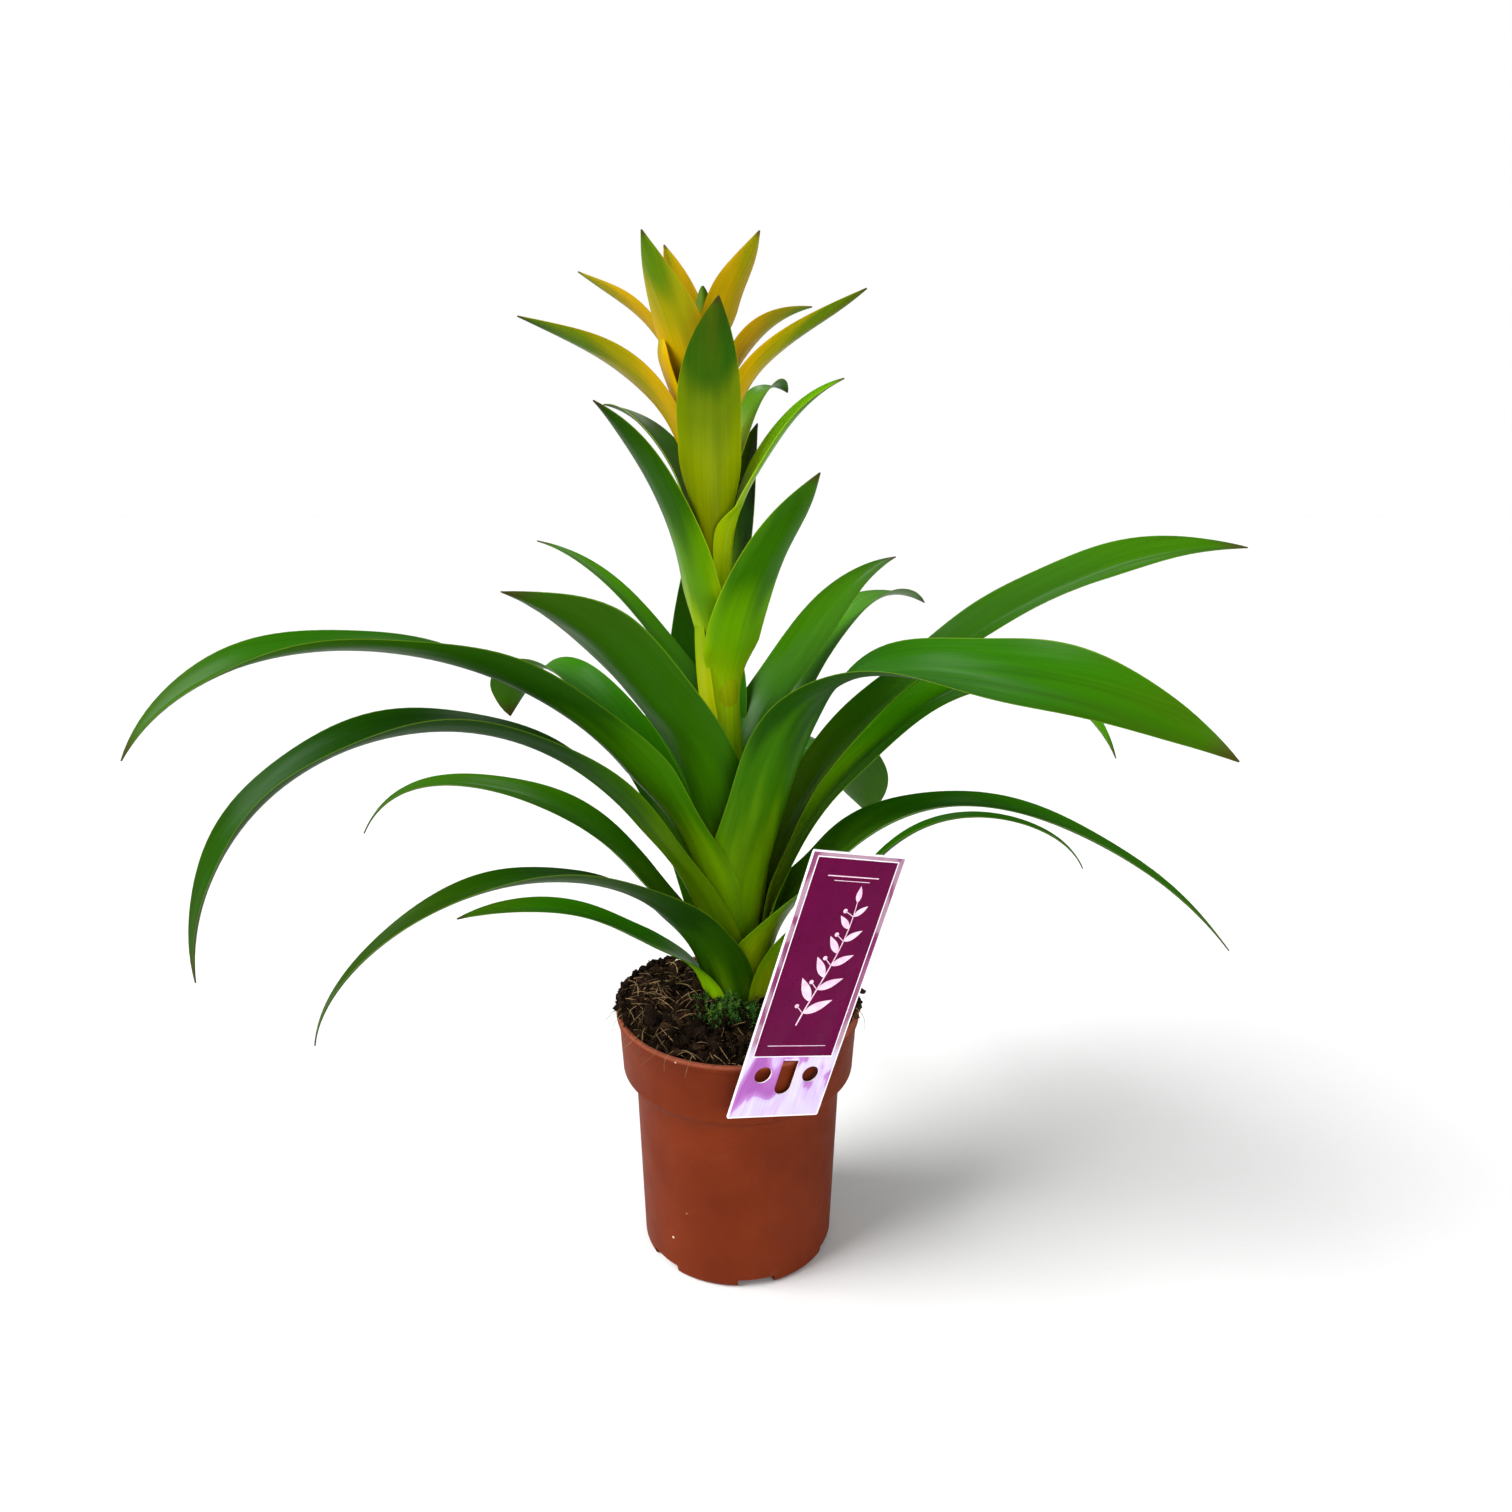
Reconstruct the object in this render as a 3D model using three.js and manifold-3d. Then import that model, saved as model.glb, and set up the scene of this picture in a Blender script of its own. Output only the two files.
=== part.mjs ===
// Potted guzmania: nursery pot, peat, stem, rosette leaves, scape bracts, head bracts and plant label.
// Millimetres. +Z is up, the origin is the middle of the pot's foot, and -Y is the side with the label.
import * as THREE from "three";
import { mergeVertices } from "three/addons/utils/BufferGeometryUtils.js";
import Module from "manifold-3d";

const wasm = await Module();
wasm.setup();

// pot
const RIM_R = 60;
const LIP_H = 3.4;
const POT_H = 127;
const WALL = 1.3;
const COLLAR_BOTTOM = 96.8;
const COLLAR_R = 57.1;
const NECK_R = 50.8;
const BASE_R = 47.9;
const FLOOR = 5.4;
const CHANNEL_W = 18;
const CHANNEL_H = 3;
const CHANNEL_COUNT = 6;
const CHANNEL_START = -79;
const CHANNEL_FROM = 20;
const DRAIN_R = 4;
const DRAIN_AT = 34;
const POT_SIDES = 48;

// peat
const GAP = 0.3;
const SOIL_RIM = 121.5;
const SOIL_CROWN = 18;
const WELL_R = 19.6;
const WELL_FLOOR = 128;

// plant
const LEAF_BASE = 132;
const LEAN = 0.045;
const BLADE = 0.7;
const LAYER_IN = 6.4;
const LAYER_STEP = 1.08;
const TIP_HALF = 0.7;
const SHEATH_GAP = 0.8;

const rad = THREE.MathUtils.degToRad;
const clamp = THREE.MathUtils.clamp;
const lerp = THREE.MathUtils.lerp;

function ease(t) {
  const u = clamp(t, 0, 1);
  return u * u * (3 - 2 * u);
}

// Smooth value at s (0 to 1) through evenly spaced values.
function through(values, s) {
  const n = values.length - 1;
  const x = clamp(s * n, 0, n - 1e-9);
  const i = Math.floor(x);
  const t = x - i;
  const b = values[i];
  const c = values[i + 1];
  const a = i > 0 ? values[i - 1] : 2 * b - c;
  const d = i + 2 <= n ? values[i + 2] : 2 * c - b;
  const t2 = t * t;
  return 0.5 * (2 * b + (c - a) * t + (2 * a - 5 * b + 4 * c - d) * t2 + (3 * b - 3 * c + d - a) * t2 * t);
}

// Rosette leaves: heading seen from above (0 is +X, 90 is +Y), layer counted outwards from the stem,
// length, blade width, and climb: the angle above the horizontal at even stations from base to tip.
// sweep turns the heading towards the tip; roll tilts the blade about its midrib at mid-length and tip.
const LEAVES = {
  leaf_left_lowest: {
    heading: 203, layer: 10, length: 145, width: 18,
    climb: [90, 45, 28, 9, -12], roll: [-15, -10],
  },
  leaf_right_lowest: {
    heading: -40, sweep: 36, layer: 10, length: 218, width: 17,
    climb: [90, 44, 44, -12, -61], roll: [5, 10],
  },
  leaf_back_lowest: {
    heading: 98, layer: 10, length: 215, width: 26,
    climb: [90, 46, 18, -14, -48],
  },
  leaf_front_left_low: {
    heading: 246, sweep: -30, layer: 9, length: 275, width: 26,
    climb: [90, 52, 34, 5, -49, -83],
  },
  leaf_back_right_low: {
    heading: 70, layer: 9, length: 250, width: 29,
    climb: [90, 46, 22, -14, -46],
  },
  leaf_right_low: {
    heading: -8, sweep: 3, layer: 8, length: 307, width: 24,
    climb: [90, 55, 25, -13, -42, -41], roll: [5, 10],
  },
  leaf_back_left_low: {
    heading: 122, layer: 8, length: 270, width: 29,
    climb: [90, 46, 27, -10, -52],
  },
  leaf_left_low: {
    heading: 188, layer: 7, length: 231, width: 28,
    climb: [90, 65, 47, 25, -10, -64], roll: [-25, -10],
  },
  leaf_back_right_mid: {
    heading: 56, layer: 7, length: 240, width: 33,
    climb: [90, 62, 28, -14, -50],
  },
  leaf_right_mid: {
    heading: 28, sweep: -14, layer: 6, length: 304, width: 32,
    climb: [90, 66, 40, 30, -22, -76], roll: [10, 10],
  },
  leaf_left_long: {
    heading: 208, sweep: -12, layer: 5, length: 383, width: 34, cup: 44,
    climb: [90, 71, 33, -4, -49, -88], roll: [0, -20],
  },
  leaf_right_high: {
    heading: 24, sweep: -16, layer: 5, length: 367, width: 38,
    climb: [90, 70, 45, 39, 10, -12], roll: [18, 28],
  },
  leaf_left_high: {
    heading: 204, sweep: -10, layer: 4, length: 374, width: 35, cup: 44,
    climb: [90, 76, 40, 24, -15, -60], roll: [10, 0],
  },
  leaf_back_right_high: {
    heading: 47, layer: 4, length: 286, width: 25,
    climb: [90, 78, 66, 46, 13, -35],
  },
  leaf_left_folded: {
    heading: 143, layer: 3, length: 270, width: 39,
    climb: [90, 84, 60, 41, -22, -66],
  },
  leaf_right_folded: {
    heading: -48, sweep: 17, layer: 3, length: 348, width: 43,
    climb: [90, 82, 66, 16, -15, -36], roll: [0, 42],
  },
  leaf_left_top: {
    heading: 252, sweep: -32, layer: 2, length: 253, width: 45,
    climb: [90, 88, 84, 51, 50, -3],
  },
  leaf_right_top: {
    heading: 40, layer: 2, length: 267, width: 34,
    climb: [90, 88, 88, 45, 35, 6], roll: [10, 10],
  },
  leaf_back_left_top: {
    heading: 148, layer: 1, length: 269, width: 26,
    climb: [90, 89, 86, 56, 39, 4], roll: [-15, -10],
  },
  leaf_back_upright: {
    heading: 68, layer: 0, length: 252, width: 25,
    climb: [90, 90, 88, 78, 71, 67],
  },
};

// Bracts up the stem: each sheath starts on the stem at its own height.
const BRACTS = {
  bract_front_right: {
    heading: -60, sweep: 8, start: 232, length: 173, width: 34, clasp: 60,
    climb: [84, 82, 69, 44, 60],
  },
  bract_left_small: {
    heading: 192, start: 244, length: 90, width: 17, clasp: 58,
    climb: [82, 84, 85, 86, 86],
  },
  bract_front_left: {
    heading: 226, start: 264, length: 170, width: 30,
    climb: [84, 88, 78, 46, 31],
  },
  bract_back_right: {
    heading: 64, start: 305, length: 108, width: 24,
    climb: [82, 80, 76, 70, 60],
  },
  bract_right_slim: {
    heading: -24, start: 318, length: 126, width: 26,
    climb: [84, 80, 54, 49, 20], roll: [-15, -15],
  },
  bract_back_left: {
    heading: 148, start: 335, length: 107, width: 24,
    climb: [84, 82, 61, 33, -5],
  },
  bract_front_tall: {
    heading: 283, start: 348, length: 114, width: 31, cup: 26,
    climb: [80, 80, 76, 64, 56],
  },
  head_bract_left: {
    heading: 184, start: 368, length: 116, width: 25,
    climb: [80, 72, 41, 23, 21], roll: [20, 20],
  },
  bract_back_curled: {
    heading: 50, start: 372, length: 76, width: 12, clasp: 45,
    climb: [80, 60, 56, 30, -42],
  },
  head_bract_short_back: {
    heading: 174, start: 384, length: 62, width: 20,
    climb: [80, 66, 62, 70, 80], roll: [20, 0],
  },
  head_bract_right: {
    heading: -16, start: 386, length: 102, width: 26,
    climb: [80, 72, 43, 24, 34], roll: [-20, -20],
  },
  head_bract_upper_left: {
    heading: 238, start: 392, length: 92, width: 27,
    climb: [80, 78, 70, 72, 76],
  },
  head_bract_slim_right: {
    heading: 50, start: 398, length: 78, width: 16, clasp: 26,
    climb: [80, 70, 64, 26, 10], roll: [-25, -25],
  },
  head_bract_slim_left: {
    heading: 158, start: 400, length: 90, width: 17,
    climb: [80, 76, 60, 24, 30], roll: [25, 25],
  },
  head_bract_upper_right: {
    heading: -40, start: 404, length: 82, width: 24, clasp: 58,
    climb: [80, 78, 68, 56, 50],
  },
  head_bract_upper_back: {
    heading: 112, start: 408, length: 76, width: 18,
    climb: [80, 80, 72, 60, 55],
  },
};

// Stem radius against height
const STEM = [
  [WELL_FLOOR + GAP, 5.6],
  [160, 5.6],
  [200, 5.0],
  [300, 4.2],
  [370, 3.5],
  [424, 2.6],
];

function stemRadius(z) {
  const i = clamp(STEM.findIndex(([h]) => h > z), 1, STEM.length - 1);
  const [z0, r0] = STEM[i - 1];
  const [z1, r1] = STEM[i];
  return lerp(r0, r1, (z - z0) / (z1 - z0));
}

function shape(spec) {
  const rosette = spec.layer !== undefined;
  return {
    ...spec,
    radius: rosette ? LAYER_IN + LAYER_STEP * spec.layer : stemRadius(spec.start) + SHEATH_GAP,
    start: rosette ? LEAF_BASE : spec.start,
    clasp: spec.clasp ?? (rosette ? 54 : 75),
    hug: rosette ? 120 : 50,
    hold: rosette ? 17 : 5,
    release: rosette ? 26 : 7,
    cup: spec.cup ?? 32,
    sweep: spec.sweep ?? 0,
    roll: [0, ...(spec.roll ?? [0, 0])],
  };
}

// Middle line of a blade: distance out from the stem and height at each station.
function midrib(leaf, steps) {
  const out = [{ s: 0, out: leaf.radius, up: leaf.start, angle: rad(leaf.climb[0]) }];
  const fine = 12;
  const ds = 1 / (steps * fine);
  let r = leaf.radius;
  let z = leaf.start;
  for (let i = 1; i <= steps * fine; i += 1) {
    const a = rad(through(leaf.climb, (i - 0.5) * ds));
    r += Math.cos(a) * ds * leaf.length;
    z += Math.sin(a) * ds * leaf.length;
    if (i % fine === 0) out.push({ s: i * ds, out: r, up: z, angle: rad(through(leaf.climb, i * ds)) });
  }
  return out;
}

// 1 where the blade wraps the stem as a cone, 0 where it has come free.
function hugging(leaf, out) {
  return 1 - ease((out - leaf.hold) / leaf.release);
}

// Half the blade's width at s: broad sheath, even blade, long pointed tip.
function halfWidth(leaf, s, out) {
  const broad = (leaf.width / 2) * (1 + 0.25 * (1 - ease((s * leaf.length) / leaf.hug)));
  const body = lerp(broad, Math.min(broad, out * rad(leaf.clasp)), hugging(leaf, out));
  const t = clamp((s - 0.45) / 0.55, 0, 1);
  return TIP_HALF + (body - TIP_HALF) * (1 - Math.pow(t, 2.2));
}

// A point of the blade's mid-surface with its inward normal, v from -1 to 1 across.
function bladePoint(leaf, station, v) {
  const { s, out, up, angle } = station;
  const half = halfWidth(leaf, s, out);
  const wrap = hugging(leaf, out);
  const heading = rad(leaf.heading + leaf.sweep * Math.pow(s, 1.5));
  const roll = rad(through(leaf.roll, s)) * (1 - wrap);
  const outward = new THREE.Vector3(Math.cos(heading), Math.sin(heading), 0);
  const side = new THREE.Vector3(-Math.sin(heading), Math.cos(heading), 0);
  const upward = new THREE.Vector3(0, 0, 1);
  const level = outward.clone().multiplyScalar(-Math.sin(angle)).addScaledVector(upward, Math.cos(angle));
  const cross = side.clone().multiplyScalar(Math.cos(roll)).addScaledVector(level, Math.sin(roll));
  const inward = level.clone().multiplyScalar(Math.cos(roll)).addScaledVector(side, -Math.sin(roll));
  const sag = 0.7 * (half / rad(leaf.cup)) * (1 - Math.cos(rad(leaf.cup)));
  const middle = outward.clone().multiplyScalar(out).setZ(up);
  // free blade: a shallow trough across the midrib
  const cup = rad(leaf.cup) * v;
  const trough = half / rad(leaf.cup);
  const free = middle
    .clone()
    .addScaledVector(cross, trough * Math.sin(cup))
    .addScaledVector(inward, trough * (1 - Math.cos(cup)) - sag);
  const freeNormal = cross.clone().multiplyScalar(-Math.sin(cup)).addScaledVector(inward, Math.cos(cup));
  // sheath: part of a cone round the stem
  const turn = (half / out) * v;
  const round = outward.clone().multiplyScalar(Math.cos(turn)).addScaledVector(side, Math.sin(turn));
  const sheath = round.clone().multiplyScalar(out).setZ(up);
  const sheathNormal = round.clone().multiplyScalar(-Math.sin(angle));
  sheathNormal.addScaledVector(upward, Math.cos(angle));
  const point = free.lerp(sheath, wrap);
  const normal = freeNormal.lerp(sheathNormal, wrap).normalize();
  point.x -= LEAN * (point.z - LEAF_BASE);
  return { point, normal };
}

// A closed blade of even thickness; both faces are split along the same diagonals.
function bladeGeometry(leaf, steps, across) {
  const stations = midrib(leaf, steps);
  const positions = [];
  for (const face of [-1, 1]) {
    for (const station of stations) {
      for (let j = 0; j <= across; j += 1) {
        const { point, normal } = bladePoint(leaf, station, (2 * j) / across - 1);
        point.addScaledVector(normal, (face * BLADE) / 2);
        positions.push(point.x, point.y, point.z);
      }
    }
  }
  const row = across + 1;
  const layer = row * stations.length;
  const at = (face, i, j) => face * layer + i * row + j;
  const index = [];
  for (let i = 0; i < steps; i += 1) {
    for (let j = 0; j < across; j += 1) {
      index.push(at(0, i, j), at(0, i, j + 1), at(0, i + 1, j + 1));
      index.push(at(0, i, j), at(0, i + 1, j + 1), at(0, i + 1, j));
      index.push(at(1, i, j), at(1, i + 1, j + 1), at(1, i, j + 1));
      index.push(at(1, i, j), at(1, i + 1, j), at(1, i + 1, j + 1));
    }
    index.push(at(0, i, 0), at(0, i + 1, 0), at(1, i + 1, 0));
    index.push(at(0, i, 0), at(1, i + 1, 0), at(1, i, 0));
    index.push(at(0, i, across), at(1, i + 1, across), at(0, i + 1, across));
    index.push(at(0, i, across), at(1, i, across), at(1, i + 1, across));
  }
  for (let j = 0; j < across; j += 1) {
    index.push(at(0, 0, j), at(1, 0, j), at(1, 0, j + 1));
    index.push(at(0, 0, j), at(1, 0, j + 1), at(0, 0, j + 1));
    index.push(at(0, steps, j), at(1, steps, j + 1), at(1, steps, j));
    index.push(at(0, steps, j), at(0, steps, j + 1), at(1, steps, j + 1));
  }
  const geometry = new THREE.BufferGeometry();
  geometry.setAttribute("position", new THREE.Float32BufferAttribute(positions, 3));
  geometry.setIndex(index);
  return geometry;
}

// A closed geometry as a solid for cutting and joining, and a solid as geometry again.
function solid(geometry) {
  const bare = geometry.clone();
  bare.deleteAttribute("normal");
  bare.deleteAttribute("uv");
  const merged = mergeVertices(bare, 1e-4);
  return new wasm.Manifold(
    new wasm.Mesh({
      numProp: 3,
      vertProperties: new Float32Array(merged.attributes.position.array),
      triVerts: new Uint32Array(merged.index.array),
    }),
  );
}

function surface(body) {
  const mesh = body.getMesh();
  const points = new Float32Array(mesh.numVert * 3);
  for (let i = 0; i < mesh.numVert; i += 1) {
    points.set(mesh.vertProperties.subarray(i * mesh.numProp, i * mesh.numProp + 3), i * 3);
  }
  const geometry = new THREE.BufferGeometry();
  geometry.setAttribute("position", new THREE.BufferAttribute(points, 3));
  geometry.setIndex(new THREE.BufferAttribute(new Uint32Array(mesh.triVerts), 1));
  return geometry;
}

// A closed outline of [radius, height] points turned round Z.
function turned(outline, sides) {
  const points = outline.map(([r, z]) => new THREE.Vector2(r, z));
  return new THREE.LatheGeometry(points, sides).rotateX(Math.PI / 2);
}

function potGeometry() {
  const shell = turned(
    [
      [0, 0],
      [BASE_R - 2.4, 0],
      [BASE_R - 0.7, 0.8],
      [BASE_R, 2.6],
      [NECK_R, COLLAR_BOTTOM - 7],
      [NECK_R + 1.6, COLLAR_BOTTOM - 4.2],
      [COLLAR_R - 1.3, COLLAR_BOTTOM - 1.4],
      [COLLAR_R, COLLAR_BOTTOM],
      [RIM_R - 1.3, POT_H - LIP_H],
      [RIM_R - 0.2, POT_H - LIP_H + 0.5],
      [RIM_R, POT_H - 1.2],
      [RIM_R - 0.7, POT_H],
      [RIM_R - 1.6 - WALL, POT_H],
      [COLLAR_R - WALL, COLLAR_BOTTOM + 0.6],
      [NECK_R - WALL, COLLAR_BOTTOM - 5],
      [BASE_R - WALL, FLOOR],
      [0, FLOOR],
    ],
    POT_SIDES,
  );
  let body = solid(shell);
  for (let i = 0; i < CHANNEL_COUNT; i += 1) {
    const angle = rad(CHANNEL_START + (i * 360) / CHANNEL_COUNT);
    const channel = new THREE.BoxGeometry(60, CHANNEL_W, CHANNEL_H + 4)
      .translate(CHANNEL_FROM + 30, 0, CHANNEL_H / 2 - 2)
      .rotateZ(angle);
    const drain = new THREE.CylinderGeometry(DRAIN_R, DRAIN_R, 20, 12)
      .rotateX(Math.PI / 2)
      .translate(DRAIN_AT, 0, 0)
      .rotateZ(angle);
    body = body.subtract(solid(channel)).subtract(solid(drain));
  }
  return surface(body);
}

// Height of the peat's surface: a low crown with gentle clods.
function soilHeight(r, angle) {
  const crown = SOIL_CROWN * (1 - Math.pow(ease((r - 10) / 47), 0.8));
  const clods = 1.1 * Math.sin(3 * angle + r * 0.11) + 0.9 * Math.sin(5 * angle - r * 0.23 + 1.3);
  const fromHeap = Math.hypot(r * Math.cos(angle) + 38, r * Math.sin(angle));
  const heap = 3.2 * Math.exp(-Math.pow(fromHeap, 2) / 420);
  return SOIL_RIM + crown + clods * ease((57 - r) / 9) + heap * ease((57 - r) / 12);
}

function soilGeometry() {
  const sides = 36;
  const outer = RIM_R - 1.6 - WALL - GAP;
  const ring = [
    [WELL_R, WELL_FLOOR],
    [WELL_R, null],
    [31, null],
    [40, null],
    [49, null],
    [outer - 0.6, null],
    [COLLAR_R - WALL - GAP, COLLAR_BOTTOM + 0.8],
    [NECK_R - WALL - GAP, COLLAR_BOTTOM - 5],
    [BASE_R - WALL - GAP - 0.2, FLOOR + GAP],
  ];
  const positions = [0, 0, WELL_FLOOR, 0, 0, FLOOR + GAP];
  for (const [r, z] of ring) {
    for (let k = 0; k < sides; k += 1) {
      const a = (k / sides) * 2 * Math.PI;
      positions.push(r * Math.cos(a), r * Math.sin(a), z ?? soilHeight(r, a));
    }
  }
  const at = (i, k) => 2 + i * sides + (k % sides);
  const index = [];
  for (let k = 0; k < sides; k += 1) {
    index.push(0, at(0, k), at(0, k + 1));
    for (let i = 0; i + 1 < ring.length; i += 1) {
      index.push(at(i, k), at(i + 1, k), at(i + 1, k + 1));
      index.push(at(i, k), at(i + 1, k + 1), at(i, k + 1));
    }
    index.push(1, at(ring.length - 1, k + 1), at(ring.length - 1, k));
  }
  const geometry = new THREE.BufferGeometry();
  geometry.setAttribute("position", new THREE.Float32BufferAttribute(positions, 3));
  geometry.setIndex(index);
  return geometry;
}

function leaned(geometry) {
  const p = geometry.getAttribute("position");
  for (let i = 0; i < p.count; i += 1) {
    p.setX(i, p.getX(i) - LEAN * Math.max(0, p.getZ(i) - LEAF_BASE));
  }
  return geometry;
}

const budFoot = STEM[STEM.length - 1][0] + GAP;
const budOutline = [
  [0, budFoot],
  [2.6, budFoot],
  [4.6, 432],
  [5.2, 441],
  [3.8, 451],
  [1.4, 457.5],
  [0, 459],
];

// label: a stiff card hooked over the rim by its tongue
const CARD_W = 47.6;
const CARD_L = 133;
const CARD_T = 0.7;
const CARD_HEADING = -66;
const CARD_LEAN = -8;
const CARD_ROLL = 13.7;
const CARD_CENTRE = [35.1, -58.7, 165.2];
const HOOK_AT = -39;
const TONGUE_W = 8.4;
const TONGUE_L = 15.5;

function labelGeometry() {
  const card = new THREE.Shape();
  card.moveTo(-CARD_W / 2, -CARD_L / 2);
  card.lineTo(CARD_W / 2, -CARD_L / 2);
  card.lineTo(CARD_W / 2, CARD_L / 2);
  card.lineTo(-CARD_W / 2, CARD_L / 2);
  card.closePath();
  const slot = new THREE.Path();
  const half = TONGUE_W / 2;
  slot.moveTo(-half, HOOK_AT + 2.5);
  slot.lineTo(half, HOOK_AT + 2.5);
  slot.lineTo(half, HOOK_AT - TONGUE_L + half);
  slot.absarc(0, HOOK_AT - TONGUE_L + half, half, 0, -Math.PI, true);
  slot.closePath();
  card.holes.push(slot);
  for (const sign of [-1, 1]) {
    const relief = new THREE.Path();
    const x = sign * 12.4;
    relief.absarc(x, HOOK_AT - 4.9, 4.2, 0, 2 * Math.PI, false);
    card.holes.push(relief);
  }
  const flat = new THREE.ExtrudeGeometry(card, { depth: CARD_T, bevelEnabled: false, curveSegments: 8 });
  flat.translate(0, 0, -CARD_T / 2);
  const tongue = new THREE.BoxGeometry(TONGUE_W - 0.8, 10, CARD_T)
    .translate(0, -4.6, 0)
    .rotateX(rad(60))
    .translate(0, HOOK_AT + 3, 0);
  const body = solid(flat).add(solid(tongue));
  const geometry = surface(body);
  // flat card facing +Z, stood up, turned in its own plane, tipped outward and faced to its heading
  return geometry
    .rotateZ(rad(-CARD_ROLL))
    .rotateX(rad(90 - CARD_LEAN))
    .rotateZ(rad(CARD_HEADING + 90))
    .translate(...CARD_CENTRE);
}

const part = new THREE.Group();
part.name = "potted_guzmania";

function add(name, geometry, color, roughness) {
  const material = new THREE.MeshStandardMaterial({ color, roughness });
  const mesh = new THREE.Mesh(geometry, material);
  mesh.name = name;
  part.add(mesh);
}

add("pot", potGeometry(), "#8c3a24", 0.5);
add("potting_soil", soilGeometry(), "#2a2018", 0.95);
const stemOutline = [[0, STEM[0][0]], ...STEM.map(([z, r]) => [r, z]), [0, STEM[STEM.length - 1][0]]];
add("stem", leaned(turned(stemOutline, 14)), "#7fa51e", 0.5);
add("flower_bud", leaned(turned(budOutline, 10)), "#b7b52a", 0.5);
for (const [name, spec] of Object.entries(LEAVES)) {
  add(name, bladeGeometry(shape(spec), 14, 4), "#2f6b0c", 0.4);
}
for (const [name, spec] of Object.entries(BRACTS)) {
  const color = name.startsWith("head") ? "#c9a70c" : "#5f9a10";
  add(name, bladeGeometry(shape(spec), 9, 4), color, 0.4);
}
add("plant_label", labelGeometry(), "#6a0040", 0.35);

export default part;
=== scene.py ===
"""Potted guzmania: fine leaves, bracts, peat, moss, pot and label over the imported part."""
import math
import random
from functools import partial

import bpy
from mathutils import Matrix, Vector, noise


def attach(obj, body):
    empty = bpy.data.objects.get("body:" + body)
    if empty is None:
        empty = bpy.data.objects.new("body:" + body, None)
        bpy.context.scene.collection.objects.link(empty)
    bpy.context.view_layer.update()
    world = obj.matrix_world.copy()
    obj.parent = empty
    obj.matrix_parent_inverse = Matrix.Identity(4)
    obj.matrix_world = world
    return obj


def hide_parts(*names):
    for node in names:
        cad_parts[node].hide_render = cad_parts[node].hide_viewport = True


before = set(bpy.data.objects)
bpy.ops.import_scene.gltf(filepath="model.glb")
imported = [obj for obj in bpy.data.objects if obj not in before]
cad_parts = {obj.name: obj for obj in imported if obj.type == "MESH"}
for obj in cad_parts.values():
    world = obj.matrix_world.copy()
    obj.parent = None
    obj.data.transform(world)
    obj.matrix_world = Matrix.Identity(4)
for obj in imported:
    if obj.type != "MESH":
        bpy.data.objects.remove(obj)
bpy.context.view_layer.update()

MM = 0.001

# Sizes, in millimetres

# the pot: radius of its rim, height of its rolled lip, its height and the thickness of its wall
RIM_R, LIP_H, POT_H, WALL = 60.0, 3.4, 127.0, 1.3
# height and radius of its collar's foot, radius of the wall under the collar and at the base, and its floor
COLLAR_BOTTOM, COLLAR_R, NECK_R, BASE_R, FLOOR = 96.8, 57.1, 50.8, 47.9, 5.4
POT_SIDES = 192
# the drainage channels under it: width, height, count, the first one's angle in degrees and how far from the
# axis they start, and the hole over each: its radius and how far from the axis it is
CHANNEL_W, CHANNEL_H, CHANNEL_COUNT, CHANNEL_START, CHANNEL_FROM = 18.0, 4.4, 6, -79.0, 20.0
DRAIN_R, DRAIN_AT = 4.0, 34.0
# the clearance between neighbouring pieces
GAP = 0.3
# the peat: height of its surface at the rim, how much it rises towards the plant, height of the bed's edge,
# and radius and floor of the hole for the plant
SOIL_RIM, SOIL_CROWN, BED_EDGE, WELL_R, WELL_FLOOR = 121.5, 18.0, 119.8, 18.0, 128.0
# a dry peat fibre: length and radius
FIBRE_L, FIBRE_R = 10, 0.16
# where the leaves leave the plant, and how far it leans to the left above that, as a share of the height
LEAF_BASE, LEAN = 132.0, 0.045
# the sheaths: the innermost layer's radius, the step to the next one, and the bracts' gap to the stem
LAYER_IN, LAYER_STEP, SHEATH_GAP = 6.4, 1.08, 0.8
# a blade's thickness, and half the width of its tip
BLADE_T, TIP_HALF = 0.62, 0.3
# faces along the leaves and the bracts, and across both
LEAF_STEPS, BRACT_STEPS, BLADE_COLUMNS = 84, 54, 14
# the stem: (height, radius)
STEM = [(WELL_FLOOR + GAP, 5.6), (160, 5.6), (200, 5.0), (300, 4.2), (370, 3.5), (424, 2.6)]
# the closed bud: the height of its foot and its length
BUD_FOOT, BUD_L = 424, 35
# the label's ink: how thick it is and how far it stands off the card
INK_T, INK_GAP = 0.05, 0.02
# about a full and a half turn in radians, for random draws
FULL_TURN, HALF_TURN = 6.28, 3.14

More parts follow.
